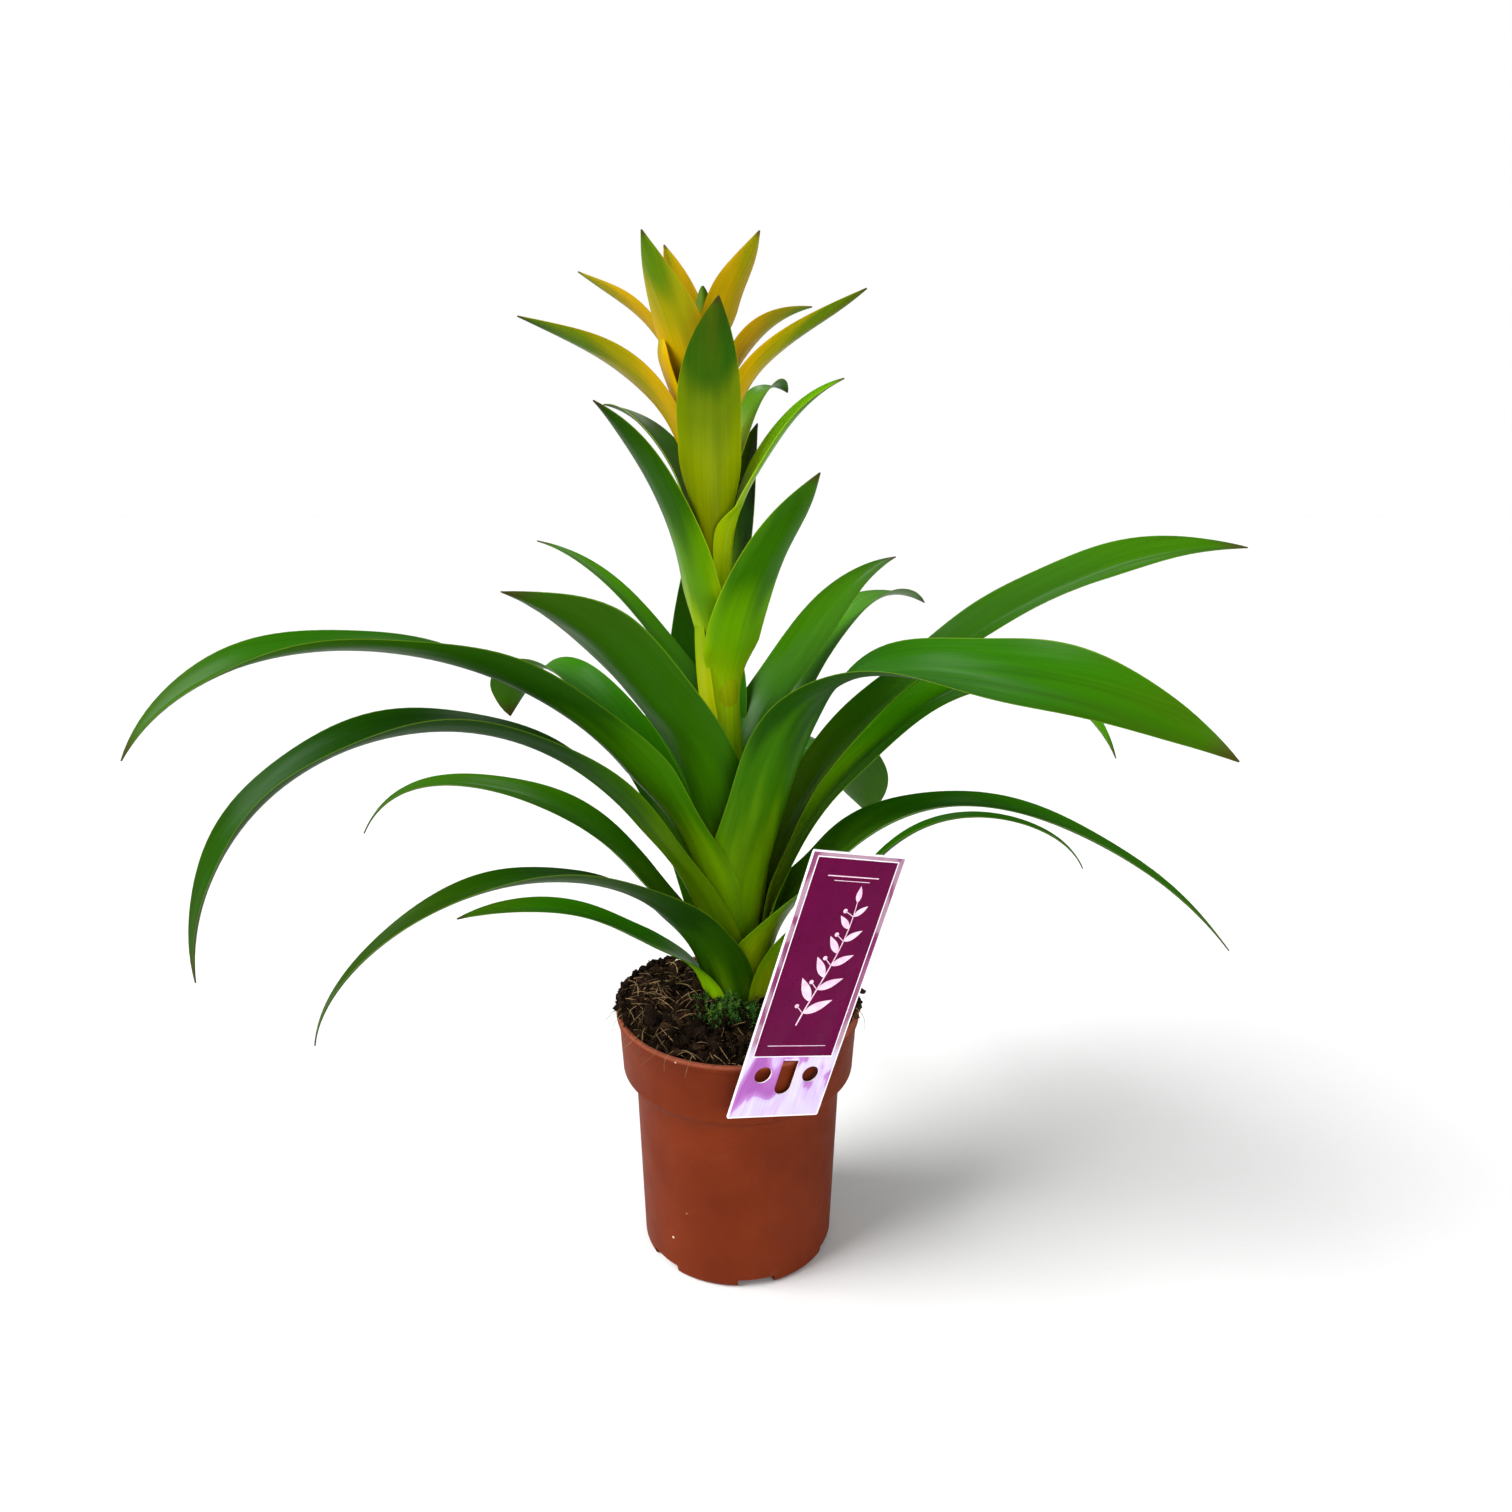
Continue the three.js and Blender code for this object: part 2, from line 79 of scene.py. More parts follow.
# The blades, in mm and degrees. heading: the way it grows, from +X, and sweep: how far that turns by the
# tip. layer: which sheath of the rosette it is, counted outwards, or start: how high a bract leaves the stem.
# clasp: half the angle its sheath wraps at most. climb: its slope at even steps along it, 90 upright and
# below 0 hanging. roll: how far it is turned about its length halfway and at the tip. girth: its width at
# even steps, as a share of width. taper: the share of its length where it starts to narrow. cup: half the
# angle of its trough. crease: how deep its midrib lies.
LEAVES = {
    "leaf_left_lowest": dict(heading=204, layer=10, length=143, width=18, taper=0.7,
                             girth=[1.4, 1.1, 0.8, 0.75, 0.85], climb=[90, 40, 32, 10, -11],
                             roll=[-12, -6]),
    "leaf_right_lowest": dict(heading=-38, sweep=36, layer=10, length=219, width=17,
                              girth=[1, 0.8, 0.65, 0.45, 0.4], climb=[90, 46, 45, -15, -65], roll=[6, 0]),
    "leaf_back_lowest": dict(heading=98, layer=10, length=215, width=26, climb=[90, 46, 18, -14, -48]),
    "leaf_front_left_low": dict(heading=244, sweep=-30, layer=9, clasp=70, length=270, width=26,
                                girth=[1.05, 1.15, 1.15, 0.7, 0.4], climb=[90, 49, 32, 3, -43, -89],
                                roll=[3, 20]),
    "leaf_back_right_low": dict(heading=70, layer=9, length=250, width=29, climb=[90, 46, 22, -14, -46]),
    "leaf_right_low": dict(heading=-7, sweep=3, layer=8, clasp=104, length=306, width=24,
                           girth=[2.3, 1.9, 0.8, 0.65, 0.6], climb=[90, 58, 24, -16, -35, -54],
                           roll=[6, 10]),
    "leaf_back_left_low": dict(heading=116, layer=8, length=256, width=29, climb=[90, 47, 30, -6, -36]),
    "leaf_left_low": dict(heading=187, layer=7, length=226, width=28, girth=[1, 0.9, 0.8, 0.65, 0.5],
                          climb=[90, 61, 49, 23, -4, -65], roll=[-15, 0]),
    "leaf_back_right_mid": dict(heading=61, layer=7, length=248, width=33, taper=0.8,
                                girth=[1, 1, 1.1, 1.25, 1.3], climb=[90, 61, 20, -35, -65], roll=[-7, -11]),
    "leaf_right_mid": dict(heading=29, sweep=-14, layer=6, length=304, width=32, taper=0.7, crease=2.4,
                           climb=[90, 69, 40, 28, -19, -76], roll=[9, 40]),
    "leaf_left_long": dict(heading=210, sweep=-12, layer=5, clasp=75, length=385, width=34, cup=44,
                           crease=0.9, climb=[90, 65, 36, -8, -52, -88], roll=[3, -27]),
    "leaf_right_high": dict(heading=25, sweep=-16, layer=5, length=362, width=38, taper=0.68, crease=1.4,
                            girth=[1, 0.9, 0.85, 0.9, 0.95], climb=[90, 71, 42, 32, 20, -6], roll=[1, 33]),
    "leaf_left_high": dict(heading=209, sweep=-10, layer=4, clasp=75, length=374, width=35, cup=44,
                           crease=0.9, girth=[1.1, 1.2, 1.1, 1.05, 1],
                           climb=[90, 75, 47, 20, -13, -60], roll=[16, -32]),
    "leaf_back_right_high": dict(heading=47, layer=4, length=283, width=25, taper=0.7,
                                 girth=[1, 1, 1.05, 1.15, 1.25], climb=[90, 80, 68, 46, 12, -29],
                                 roll=[-5, -5]),
    "leaf_left_folded": dict(heading=141, layer=3, length=258, width=39, taper=0.88,
                             girth=[0.95, 0.9, 0.95, 0.9, 0.8], climb=[90, 70, 56, 41, -6, -92],
                             roll=[5, 10]),
    "leaf_right_folded": dict(heading=-47, sweep=17, layer=3, clasp=80, length=347, width=43, taper=0.72,
                              girth=[1.1, 1.15, 1.05, 1.05, 0.8], climb=[90, 77, 68, 11, -10, -35],
                              roll=[3, 47]),
    "leaf_left_top": dict(heading=251, sweep=-32, layer=2, clasp=80, length=248, width=45, taper=0.84,
                          girth=[1, 0.95, 0.9, 1, 1.05], climb=[90, 86, 79, 58, 46, 10], roll=[4, 11]),
    "leaf_right_top": dict(heading=41, layer=2, length=263, width=34, girth=[1, 0.95, 0.9, 0.95, 1.05],
                           climb=[90, 87, 86, 46, 37, 8], roll=[1, 16]),
    "leaf_back_left_top": dict(heading=148, layer=1, length=269, width=26, girth=[1, 0.85, 0.7, 0.6, 0.7],
                               climb=[90, 93, 90, 55, 37, 8], roll=[-3, -10]),
    "leaf_back_upright": dict(heading=107, layer=0, length=221, width=40, taper=0.35,
                              girth=[1, 1.15, 1.35, 1.5, 1.4], climb=[90, 87, 85, 73, 70, 69]),
}

BRACTS = {
    "bract_front_right": dict(heading=-59, sweep=8, start=232, clasp=60, length=173, width=34,
                              girth=[1, 0.95, 1, 1, 1.1], climb=[84, 90, 66, 48, 46], roll=[8, -11]),
    "bract_left_small": dict(heading=194, start=244, clasp=58, length=90, width=24,
                             climb=[82, 85, 88, 90, 92]),
    "bract_front_left": dict(heading=226, start=264, clasp=110, length=166, width=30,
                             girth=[1.65, 1.35, 1.1, 1, 0.95], climb=[84, 87, 72, 55, 31], roll=[-15, 5]),
    "bract_back_right": dict(heading=45, start=305, length=103, width=24, climb=[82, 83, 79, 71, 57],
                             roll=[0, 4]),
    "bract_right_slim": dict(heading=-25, start=318, length=126, width=22, climb=[84, 86, 58, 46, 18],
                             roll=[26, 29]),
    "bract_back_left": dict(heading=148, start=335, length=103, width=24, climb=[84, 81, 59, 36, 3],
                            roll=[6, 12]),
    "bract_front_tall": dict(heading=266, sweep=14, start=348, length=110, width=25.5, cup=26,
                             girth=[1, 1.05, 1.1, 1.15, 1.2], climb=[80, 82, 74, 61, 53], roll=[6, -2]),
    "head_bract_left": dict(heading=185, start=368, length=116, width=25, climb=[80, 71, 44, 24, 18],
                            roll=[18, 14]),
    "bract_back_curled": dict(heading=48, start=372, clasp=45, length=77, width=17, taper=0.7,
                              climb=[80, 58, 54, 30, -41], roll=[-10, -11]),
    "head_bract_short_back": dict(heading=184, start=384, clasp=55, length=58, width=28, taper=0.8,
                                  climb=[80, 75, 72, 73, 92]),
    "head_bract_right": dict(heading=-15, start=386, length=101, width=18, climb=[80, 68, 40, 27, 30],
                             roll=[-11, -16]),
    "head_bract_upper_left": dict(heading=228, start=392, clasp=90, length=90, width=28,
                                  climb=[80, 78, 70, 61, 70], roll=[3, -2]),
    "head_bract_slim_right": dict(heading=28, start=396, clasp=26, length=83, width=16,
                                  climb=[80, 75, 50, 26, 9], roll=[-47, -19]),
    "head_bract_slim_left": dict(heading=158, start=400, length=91, width=17, climb=[80, 67, 52, 31, 29],
                                 roll=[27, 25]),
    "head_bract_upper_right": dict(heading=-48, start=404, clasp=58, length=82, width=19,
                                   climb=[80, 86, 69, 44, 49], roll=[-3, -5]),
    "head_bract_upper_back": dict(heading=124, start=408, length=76, width=18, climb=[80, 80, 72, 60, 55]),
}


# Small helpers

def lerp(a, b, t):
    return a + (b - a) * t


def clamp(x, low=0.0, high=1.0):
    return max(low, min(high, x))


def ease(t):
    u = clamp(t)
    return u * u * (3 - 2 * u)


def direction(angle):
    """The level unit vector at an angle from +X."""
    return Vector((math.cos(angle), math.sin(angle), 0))


def turn(angle, axis):
    return Matrix.Rotation(angle, 4, axis)


def deselect_all():
    if bpy.context.object and bpy.context.object.mode != "OBJECT":
        bpy.ops.object.mode_set(mode="OBJECT")
    bpy.ops.object.select_all(action="DESELECT")


def choose(piece):
    deselect_all()
    piece.select_set(True)
    bpy.context.view_layer.objects.active = piece


def apply_modifier(piece, kind, **settings):
    choose(piece)
    modifier = piece.modifiers.new(kind.lower(), kind)
    for key, value in settings.items():
        setattr(modifier, key, value)
    bpy.ops.object.modifier_apply(modifier=modifier.name)


def apply_place(piece):
    choose(piece)
    bpy.ops.object.transform_apply(location=True, rotation=True, scale=True)


def primitive(kind, name=None, **settings):
    """A primitive at its size and place, with its place applied to its mesh."""
    deselect_all()
    getattr(bpy.ops.mesh, f"primitive_{kind}_add")(**settings)
    made = bpy.context.object
    if name:
        made.name = name
    apply_place(made)
    return made


def edit_all(piece):
    """Edit mode with all of the piece selected."""
    choose(piece)
    bpy.ops.object.mode_set(mode="EDIT")
    bpy.ops.mesh.select_all(action="SELECT")


def recalculate_normals(piece):
    edit_all(piece)
    bpy.ops.mesh.normals_make_consistent(inside=False)
    bpy.ops.object.mode_set(mode="OBJECT")


def smooth(piece, degrees=40):
    choose(piece)
    bpy.ops.object.shade_smooth_by_angle(angle=math.radians(degrees))


def cut_away(piece, cutter):
    apply_modifier(piece, "BOOLEAN", operation="DIFFERENCE", object=cutter, solver="EXACT")
    bpy.data.objects.remove(cutter)


def point_values(piece, name, values):
    layer = piece.data.attributes.new(name, "FLOAT", "POINT")
    layer.data.foreach_set("value", values)


def even_values(piece, **values):
    """Attributes that are the same at every point of the piece."""
    for name, value in values.items():
        point_values(piece, name, [value] * len(piece.data.vertices))


def lay_flat(piece, name, place):
    """A uv map in metres: place gives the uv of each vertex, by its number."""
    layers = piece.data.uv_layers
    layer = layers[0] if layers else layers.new()
    layer.name = name
    for loop in piece.data.loops:
        layer.data[loop.index].uv = place(loop.vertex_index)


def keep_piece(piece, slot, *nodes):
    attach(piece, "root")
    if nodes:
        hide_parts(*nodes)


# Materials

# the output that other nodes read where it isn't the first one, and the inputs of a colour mix
MAIN_OUTPUT = {"ShaderNodeMix": 2, "ShaderNodeAttribute": 2}
SHARE, BASE, OVER = 0, 6, 7


def srgb(code):
    """A linear colour from its sRGB hex code."""
    def linear(c):
        return c / 12.92 if c <= 0.04045 else ((c + 0.055) / 1.055) ** 2.4
    return tuple(linear(int(code[i:i + 2], 16) / 255) for i in (1, 3, 5)) + (1.0,)


def add_node(tree, kind, inputs=(), **settings):
    """A shader node with its settings. Its inputs, by name or in order, are values, nodes or sockets."""
    made = tree.nodes.new("ShaderNode" + kind)
    for key, value in settings.items():
        setattr(made, key, value)
    for socket, value in inputs.items() if isinstance(inputs, dict) else enumerate(inputs):
        if isinstance(value, bpy.types.Node):
            value = value.outputs[MAIN_OUTPUT.get(value.bl_idname, 0)]
        if isinstance(value, bpy.types.NodeSocket):
            tree.links.new(value, made.inputs[socket])
        else:
            made.inputs[socket].default_value = value
    return made


def set_stops(ramp, stops, interpolation="LINEAR"):
    ramp.color_ramp.interpolation = interpolation
    elements = ramp.color_ramp.elements
    while len(elements) < len(stops):
        elements.new(0.5)
    for element, (place, code) in zip(elements, stops):
        element.position = place
        element.color = srgb(code)
    return ramp


def new_material(name):
    """An empty material, and the function that adds nodes to it."""
    material = bpy.data.materials.new(name)
    material.use_nodes = True
    material.node_tree.nodes.clear()
    return material, partial(add_node, material.node_tree)


# Patterns on a blade, in repeats a metre across it and along it. Real veins are 0.5 mm apart: they are drawn
# 1.2 mm apart so that they show. The clouds are about 11 mm across and 70 mm long.
VEINS = (820, 14, 1)
CLOUDS = (90, 14, 1)
# how deep the veins and the puckers are, in metres
VEIN_DEPTH, PUCKER_DEPTH = 0.000055, 0.0011
# how far along the blade the clouds move its colours, and how much they change its roughness
CLOUD_SHIFT, CLOUD_ROUGHNESS = 0.22, 0.22
# the brightness of the streaks, from their darkest
STREAK_LOW, STREAK_RANGE = 0.84, 0.32
# where the pale margin starts, as a share of the half width, and where the dry tip starts and where it is
# driest, as a share of the length, and how far it has turned brown
MARGIN_FROM, TIP_FROM, TIP_DRY, TIP_SHARE = 0.965, 0.955, 0.995, 0.8


def blade_material(name, stops, edge, roughness, mottle, gloss, coat=0.0, mottle_share=0.25,
                   margin_shift=0.05):
    """Waxy living leaf tissue. Fine lengthwise veins catch the light as soft streaks, the colour runs from
    the pale clasping base to the dark tip, and the margin is a thin pale line."""
    material, add = new_material(name)
    along, across, tone, age = (add("Attribute", attribute_name=key)
                                for key in ("along", "across", "tone", "age"))
    # the uv map is in metres over the blade: x across, y along
    blade = add("UVMap", uv_map="blade")
    streaks = add("TexNoise", {"Vector": add("Mapping", {"Vector": blade, "Scale": VEINS}), "Scale": 1.0,
                               "Detail": 1.2}, noise_dimensions="2D")
    clouds = add("TexNoise", {"Vector": add("Mapping", {"Vector": blade, "Scale": CLOUDS}), "Scale": 1.0,
                              "Detail": 1.5}, noise_dimensions="2D")
    # colour along the blade, shifted a little by the clouds so that it doesn't change in a straight line
    shift = add("Math", (clouds, CLOUD_SHIFT, -CLOUD_SHIFT / 2), operation="MULTIPLY_ADD")
    bowed = add("Math", (across, across), operation="MULTIPLY")
    curve = add("Math", (bowed, margin_shift, shift), operation="MULTIPLY_ADD")
    place = add("Math", (add("Math", (along, curve), operation="ADD"), age), operation="ADD")
    ramp = set_stops(add("ValToRGB", (place,)), stops, "EASE")
    patch = add("Math", (clouds, 0.5), operation="SUBTRACT")
    patch_share = add("Math", (patch, mottle_share * 4), operation="MULTIPLY", use_clamp=True)
    patched = add("Mix", {SHARE: patch_share, BASE: ramp, OVER: srgb(mottle)}, data_type="RGBA")
    # light and dark streaks, and each blade's tone, which is partly its own colour and partly painted light
    # and shade
    value = add("Math", (streaks, STREAK_RANGE, STREAK_LOW), operation="MULTIPLY_ADD")
    value = add("Math", (value, tone), operation="MULTIPLY")
    streaked = add("HueSaturation", {"Color": patched, "Value": value})
    reach = add("Math", (across,), operation="ABSOLUTE")
    margin = add("MapRange", (reach, MARGIN_FROM, 1.0, 0.0, 0.4), interpolation_type="SMOOTHSTEP")
    edged = add("Mix", {SHARE: margin, BASE: streaked, OVER: srgb(edge)}, data_type="RGBA")
    end = add("MapRange", (along, TIP_FROM, TIP_DRY, 0.0, TIP_SHARE), interpolation_type="SMOOTHSTEP")
    colour = add("Mix", {SHARE: end, BASE: edged, OVER: srgb("#3C2E14")}, data_type="RGBA")
    veins = add("Math", (streaks, VEIN_DEPTH), operation="MULTIPLY")
    height = add("Math", (clouds, PUCKER_DEPTH, veins), operation="MULTIPLY_ADD")
    relief = add("Bump", {"Height": height, "Strength": 0.7, "Distance": 1.0})
    rough = add("Math", (clouds, CLOUD_ROUGHNESS, roughness - CLOUD_ROUGHNESS / 2), operation="MULTIPLY_ADD")
    shader = add("BsdfPrincipled", {"Base Color": colour, "Normal": relief, "Roughness": rough, "IOR": 1.42,
                                    "Specular IOR Level": gloss, "Coat Weight": coat, "Coat Roughness": 0.2})
    add("OutputMaterial", (shader,))
    return material


# Upper and under sides of the blades: waxy cuticle above, more matt below. The green under sides' pale bases
# are made lighter still than the tissue: painted light standing for light shining through the thin blade.
MATERIALS = {
    "rosette": (
        blade_material("green_leaf_upper_side",
                       [(0.0, "#94AE04"), (0.22, "#4C8203"), (0.42, "#246001"), (0.75, "#286401"),
                        (1.0, "#345C02")], "#7FA030", 0.34, "#144201", 0.07),
        blade_material("green_leaf_under_side",
                       [(0.0, "#A2B802"), (0.18, "#6E9C01"), (0.36, "#346801"), (0.5, "#1A4401"),
                        (1.0, "#2C5401")], "#6E9018", 0.42, "#1C4C01", 0.06)),
    "rosette_bright": (
        blade_material("bright_leaf_upper_side",
                       [(0.0, "#90A806"), (0.2, "#5E9202"), (0.45, "#3A7E01"), (0.8, "#428201"),
                        (1.0, "#3A6E01")], "#8CB038", 0.3, "#226401", 0.13, coat=0.02),
        blade_material("bright_leaf_under_side",
                       [(0.0, "#B8C602"), (0.22, "#80A601"), (0.42, "#3C7801"), (0.7, "#2E6401"),
                        (1.0, "#325E01")], "#78A018", 0.4, "#1E5201", 0.06)),
    "bract_green": (
        blade_material("green_bract_upper_side",
                       [(0.0, "#B4C004"), (0.35, "#94B402"), (0.62, "#5C9402"), (0.9, "#387201"),
                        (1.0, "#385006")], "#A8B828", 0.32, "#4A8401", 0.14, coat=0.04),
        blade_material("green_bract_under_side",
                       [(0.0, "#BCCA01"), (0.26, "#A0C001"), (0.46, "#5E9401"), (0.66, "#2C5E01"),
                        (1.0, "#224A01")], "#B8C820", 0.4, "#4C8A01", 0.06, margin_shift=-0.06)),
    "bract_tall": (
        blade_material("tall_bract_inner_side",
                       [(0.0, "#B4AC02"), (0.45, "#989804"), (0.75, "#669004"), (1.0, "#3C5E04")],
                       "#B4AC28", 0.32, "#809004", 0.14, coat=0.04),
        blade_material("tall_bract_outer_side",
                       [(0.0, "#A0AA01"), (0.3, "#94A401"), (0.55, "#728A01"), (0.74, "#285C01"),
                        (1.0, "#154001")], "#C0AC0A", 0.4, "#647C00", 0.06, mottle_share=0.4,
                       margin_shift=-0.08)),
    "head": (
        blade_material("yellow_bract_upper_side",
                       [(0.0, "#CCA401"), (0.46, "#C49C02"), (0.68, "#949402"), (0.86, "#4E7602"),
                        (1.0, "#3C4E06")], "#D09008", 0.32, "#8C8A01", 0.12, coat=0.04, margin_shift=-0.2),
        blade_material("yellow_bract_under_side",
                       [(0.0, "#C09C01"), (0.4, "#B89401"), (0.62, "#908801"), (0.8, "#4C6C02"),
                        (1.0, "#2E4C02")], "#CC9004", 0.4, "#7C8001", 0.06, mottle_share=0.35,
                       margin_shift=-0.16)),
}
# how light each blade is beside the others of its kind: partly its own colour, partly painted light and shade
BLADE_TONES_AND_PAINTED_SHADING = {
    "leaf_left_lowest": 1.3, "leaf_front_left_low": 0.56, "leaf_right_low": 0.95, "leaf_left_low": 0.6,
    "leaf_right_mid": 1.5, "leaf_left_long": 0.56, "leaf_right_high": 0.62, "leaf_left_high": 0.95,
    "leaf_left_folded": 1.2, "leaf_right_folded": 0.9, "leaf_left_top": 0.7, "leaf_right_top": 0.75,
    "leaf_back_left_top": 0.8, "leaf_back_upright": 1.0, "bract_front_right": 1.05, "bract_left_small": 0.58,
    "bract_front_left": 0.72, "bract_back_right": 0.6, "bract_right_slim": 1.1, "bract_back_left": 0.8,
    "bract_front_tall": 0.76, "head_bract_left": 1.05, "head_bract_upper_right": 0.88}
# how far each blade's colours are moved from the young yellow base towards the old green tip
AGES = {
    "leaf_left_lowest": 0.05, "leaf_front_left_low": 0.22, "leaf_right_low": -0.04, "leaf_right_mid": -0.1,
    "leaf_right_high": -0.08, "bract_left_small": -0.45, "bract_back_right": 0.3, "bract_right_slim": -0.2,
    "bract_back_left": 0.2, "head_bract_left": 0.05, "head_bract_short_back": -0.3, "head_bract_right": 0.06,
    "head_bract_slim_right": -0.1, "head_bract_slim_left": -0.2, "head_bract_upper_right": -0.3,
    "head_bract_upper_back": -0.3}


def pot_material():
    """Injection-moulded polypropylene in terracotta brown: faintly satin, with fine flow marks, rubbed dusty
    patches and a few pale specks of dust and lime."""
    material, add = new_material("moulded_terracotta_polypropylene")
    place = add("TexCoord").outputs["Object"]
    # flow marks run up the wall, 5 mm apart
    flow_place = add("Mapping", {"Vector": place, "Scale": (190, 190, 16)})
    flow = add("TexNoise", {"Vector": flow_place, "Scale": 1.0, "Detail": 3.0})
    cloud = add("TexNoise", {"Vector": place, "Scale": 24.0, "Detail": 5.0, "Roughness": 0.6})
    # the tool's spark-eroded grain, 0.6 mm across
    grain = add("TexNoise", {"Vector": place, "Scale": 1600.0, "Detail": 2.0})
    ramp = set_stops(add("ValToRGB", (cloud,)), [(0.3, "#5C1F08"), (0.5, "#652409"), (0.72, "#6E290D")])
    value = add("Math", (flow, 0.16, 0.92), operation="MULTIPLY_ADD")
    marked = add("HueSaturation", {"Color": ramp, "Value": value})
    # dust where a hand or another pot has rubbed
    rubbed = add("TexNoise", {"Vector": place, "Scale": 55.0, "Detail": 6.0, "Roughness": 0.75})
    dust = add("MapRange", (rubbed, 0.56, 0.78, 0.0, 0.06))
    dusty = add("Mix", {SHARE: dust, BASE: marked, OVER: srgb("#A87462")}, data_type="RGBA")
    # pale specks about 1 mm across, some 25 mm apart
    cells = add("TexVoronoi", {"Vector": place, "Scale": 44.0, "Randomness": 1.0})
    speck = add("MapRange", (cells, 0.026, 0.034, 0.8, 0.0))
    specked = add("Mix", {SHARE: speck, BASE: dusty, OVER: srgb("#E9D9C8")}, data_type="RGBA")
    # a paler band along the rolled rim's top: a painted highlight
    parts = add("SeparateXYZ", (place,))
    top = add("MapRange", (parts.outputs["Z"], (POT_H - 1.6) * MM, POT_H * MM, 0.0, 0.5))
    colour = add("Mix", {SHARE: top, BASE: specked, OVER: srgb("#B86A50")}, data_type="RGBA")
    gloss = add("MapRange", (rubbed, 0.35, 0.7, 0.52, 0.66))
    low = add("Math", (flow, 0.06 * MM), operation="MULTIPLY")
    height = add("Math", (grain, 0.02 * MM, low), operation="MULTIPLY_ADD")
    relief = add("Bump", {"Height": height, "Strength": 0.8, "Distance": 1.0})
    shader = add("BsdfPrincipled", {"Base Color": colour, "Roughness": gloss, "Normal": relief, "IOR": 1.49,
                                    "Specular IOR Level": 0.07, "Subsurface Weight": 0.06,
                                    "Subsurface Radius": (1.0, 0.3, 0.15), "Subsurface Scale": 0.001})
    add("OutputMaterial", (shader,))
    return material


def peat_material(name, dark, mid, light, grain_mm, roughness=0.92):
    """Moist fibrous peat: near-black between the clods, browner on them, palest where fibres have dried."""
    material, add = new_material(name)
    place = add("TexCoord").outputs["Object"]
    fine = add("TexNoise", {"Vector": place, "Scale": 1000 / grain_mm, "Detail": 6.0, "Roughness": 0.7})
    coarse = add("TexNoise", {"Vector": place, "Scale": 1000 / (grain_mm * 7), "Detail": 3.0})
    part = add("Math", (fine, 0.65), operation="MULTIPLY")
    mixed = add("Math", (coarse, 0.35, part), operation="MULTIPLY_ADD")
    ramp = set_stops(add("ValToRGB", (mixed,)), [(0.34, dark), (0.52, mid), (0.68, light)])
    toned = add("HueSaturation", {"Color": ramp, "Value": add("Attribute", attribute_name="tone")})
    relief = add("Bump", {"Height": fine, "Strength": 1.0, "Distance": grain_mm * 0.0006})
    shader = add("BsdfPrincipled", {"Base Color": toned, "Normal": relief, "Roughness": roughness,
                                    "Specular IOR Level": 0.08})
    add("OutputMaterial", (shader,))
    return material


def moss_material():
    """Living cushion moss: translucent bright-green leaflets, browner deep in the tuft."""
    material, add = new_material("living_moss")
    place = add("TexCoord").outputs["Object"]
    # patches of young and old growth 4 mm across
    patch = add("TexNoise", {"Vector": place, "Scale": 260.0, "Detail": 3.0})
    ramp = set_stops(add("ValToRGB", (patch,)), [(0.32, "#1E4A08"), (0.5, "#3A7A14"), (0.7, "#7CAE38")])
    toned = add("HueSaturation", {"Color": ramp, "Value": add("Attribute", attribute_name="tone")})
    shader = add("BsdfPrincipled", {"Base Color": toned, "Roughness": 0.6, "Subsurface Weight": 0.2,
                                    "Subsurface Radius": (0.4, 1.0, 0.2), "Subsurface Scale": 0.0006})
    add("OutputMaterial", (shader,))
    return material


# the card, and the plum panel printed on it, from the card's middle
CARD_W, CARD_L, CARD_T = 47.6, 133.0, 0.7
PANEL = dict(left=-20.2, right=20.2, bottom=-34.0, top=63.6)
RULE_W, WHITE_EDGE = 0.5, 0.7


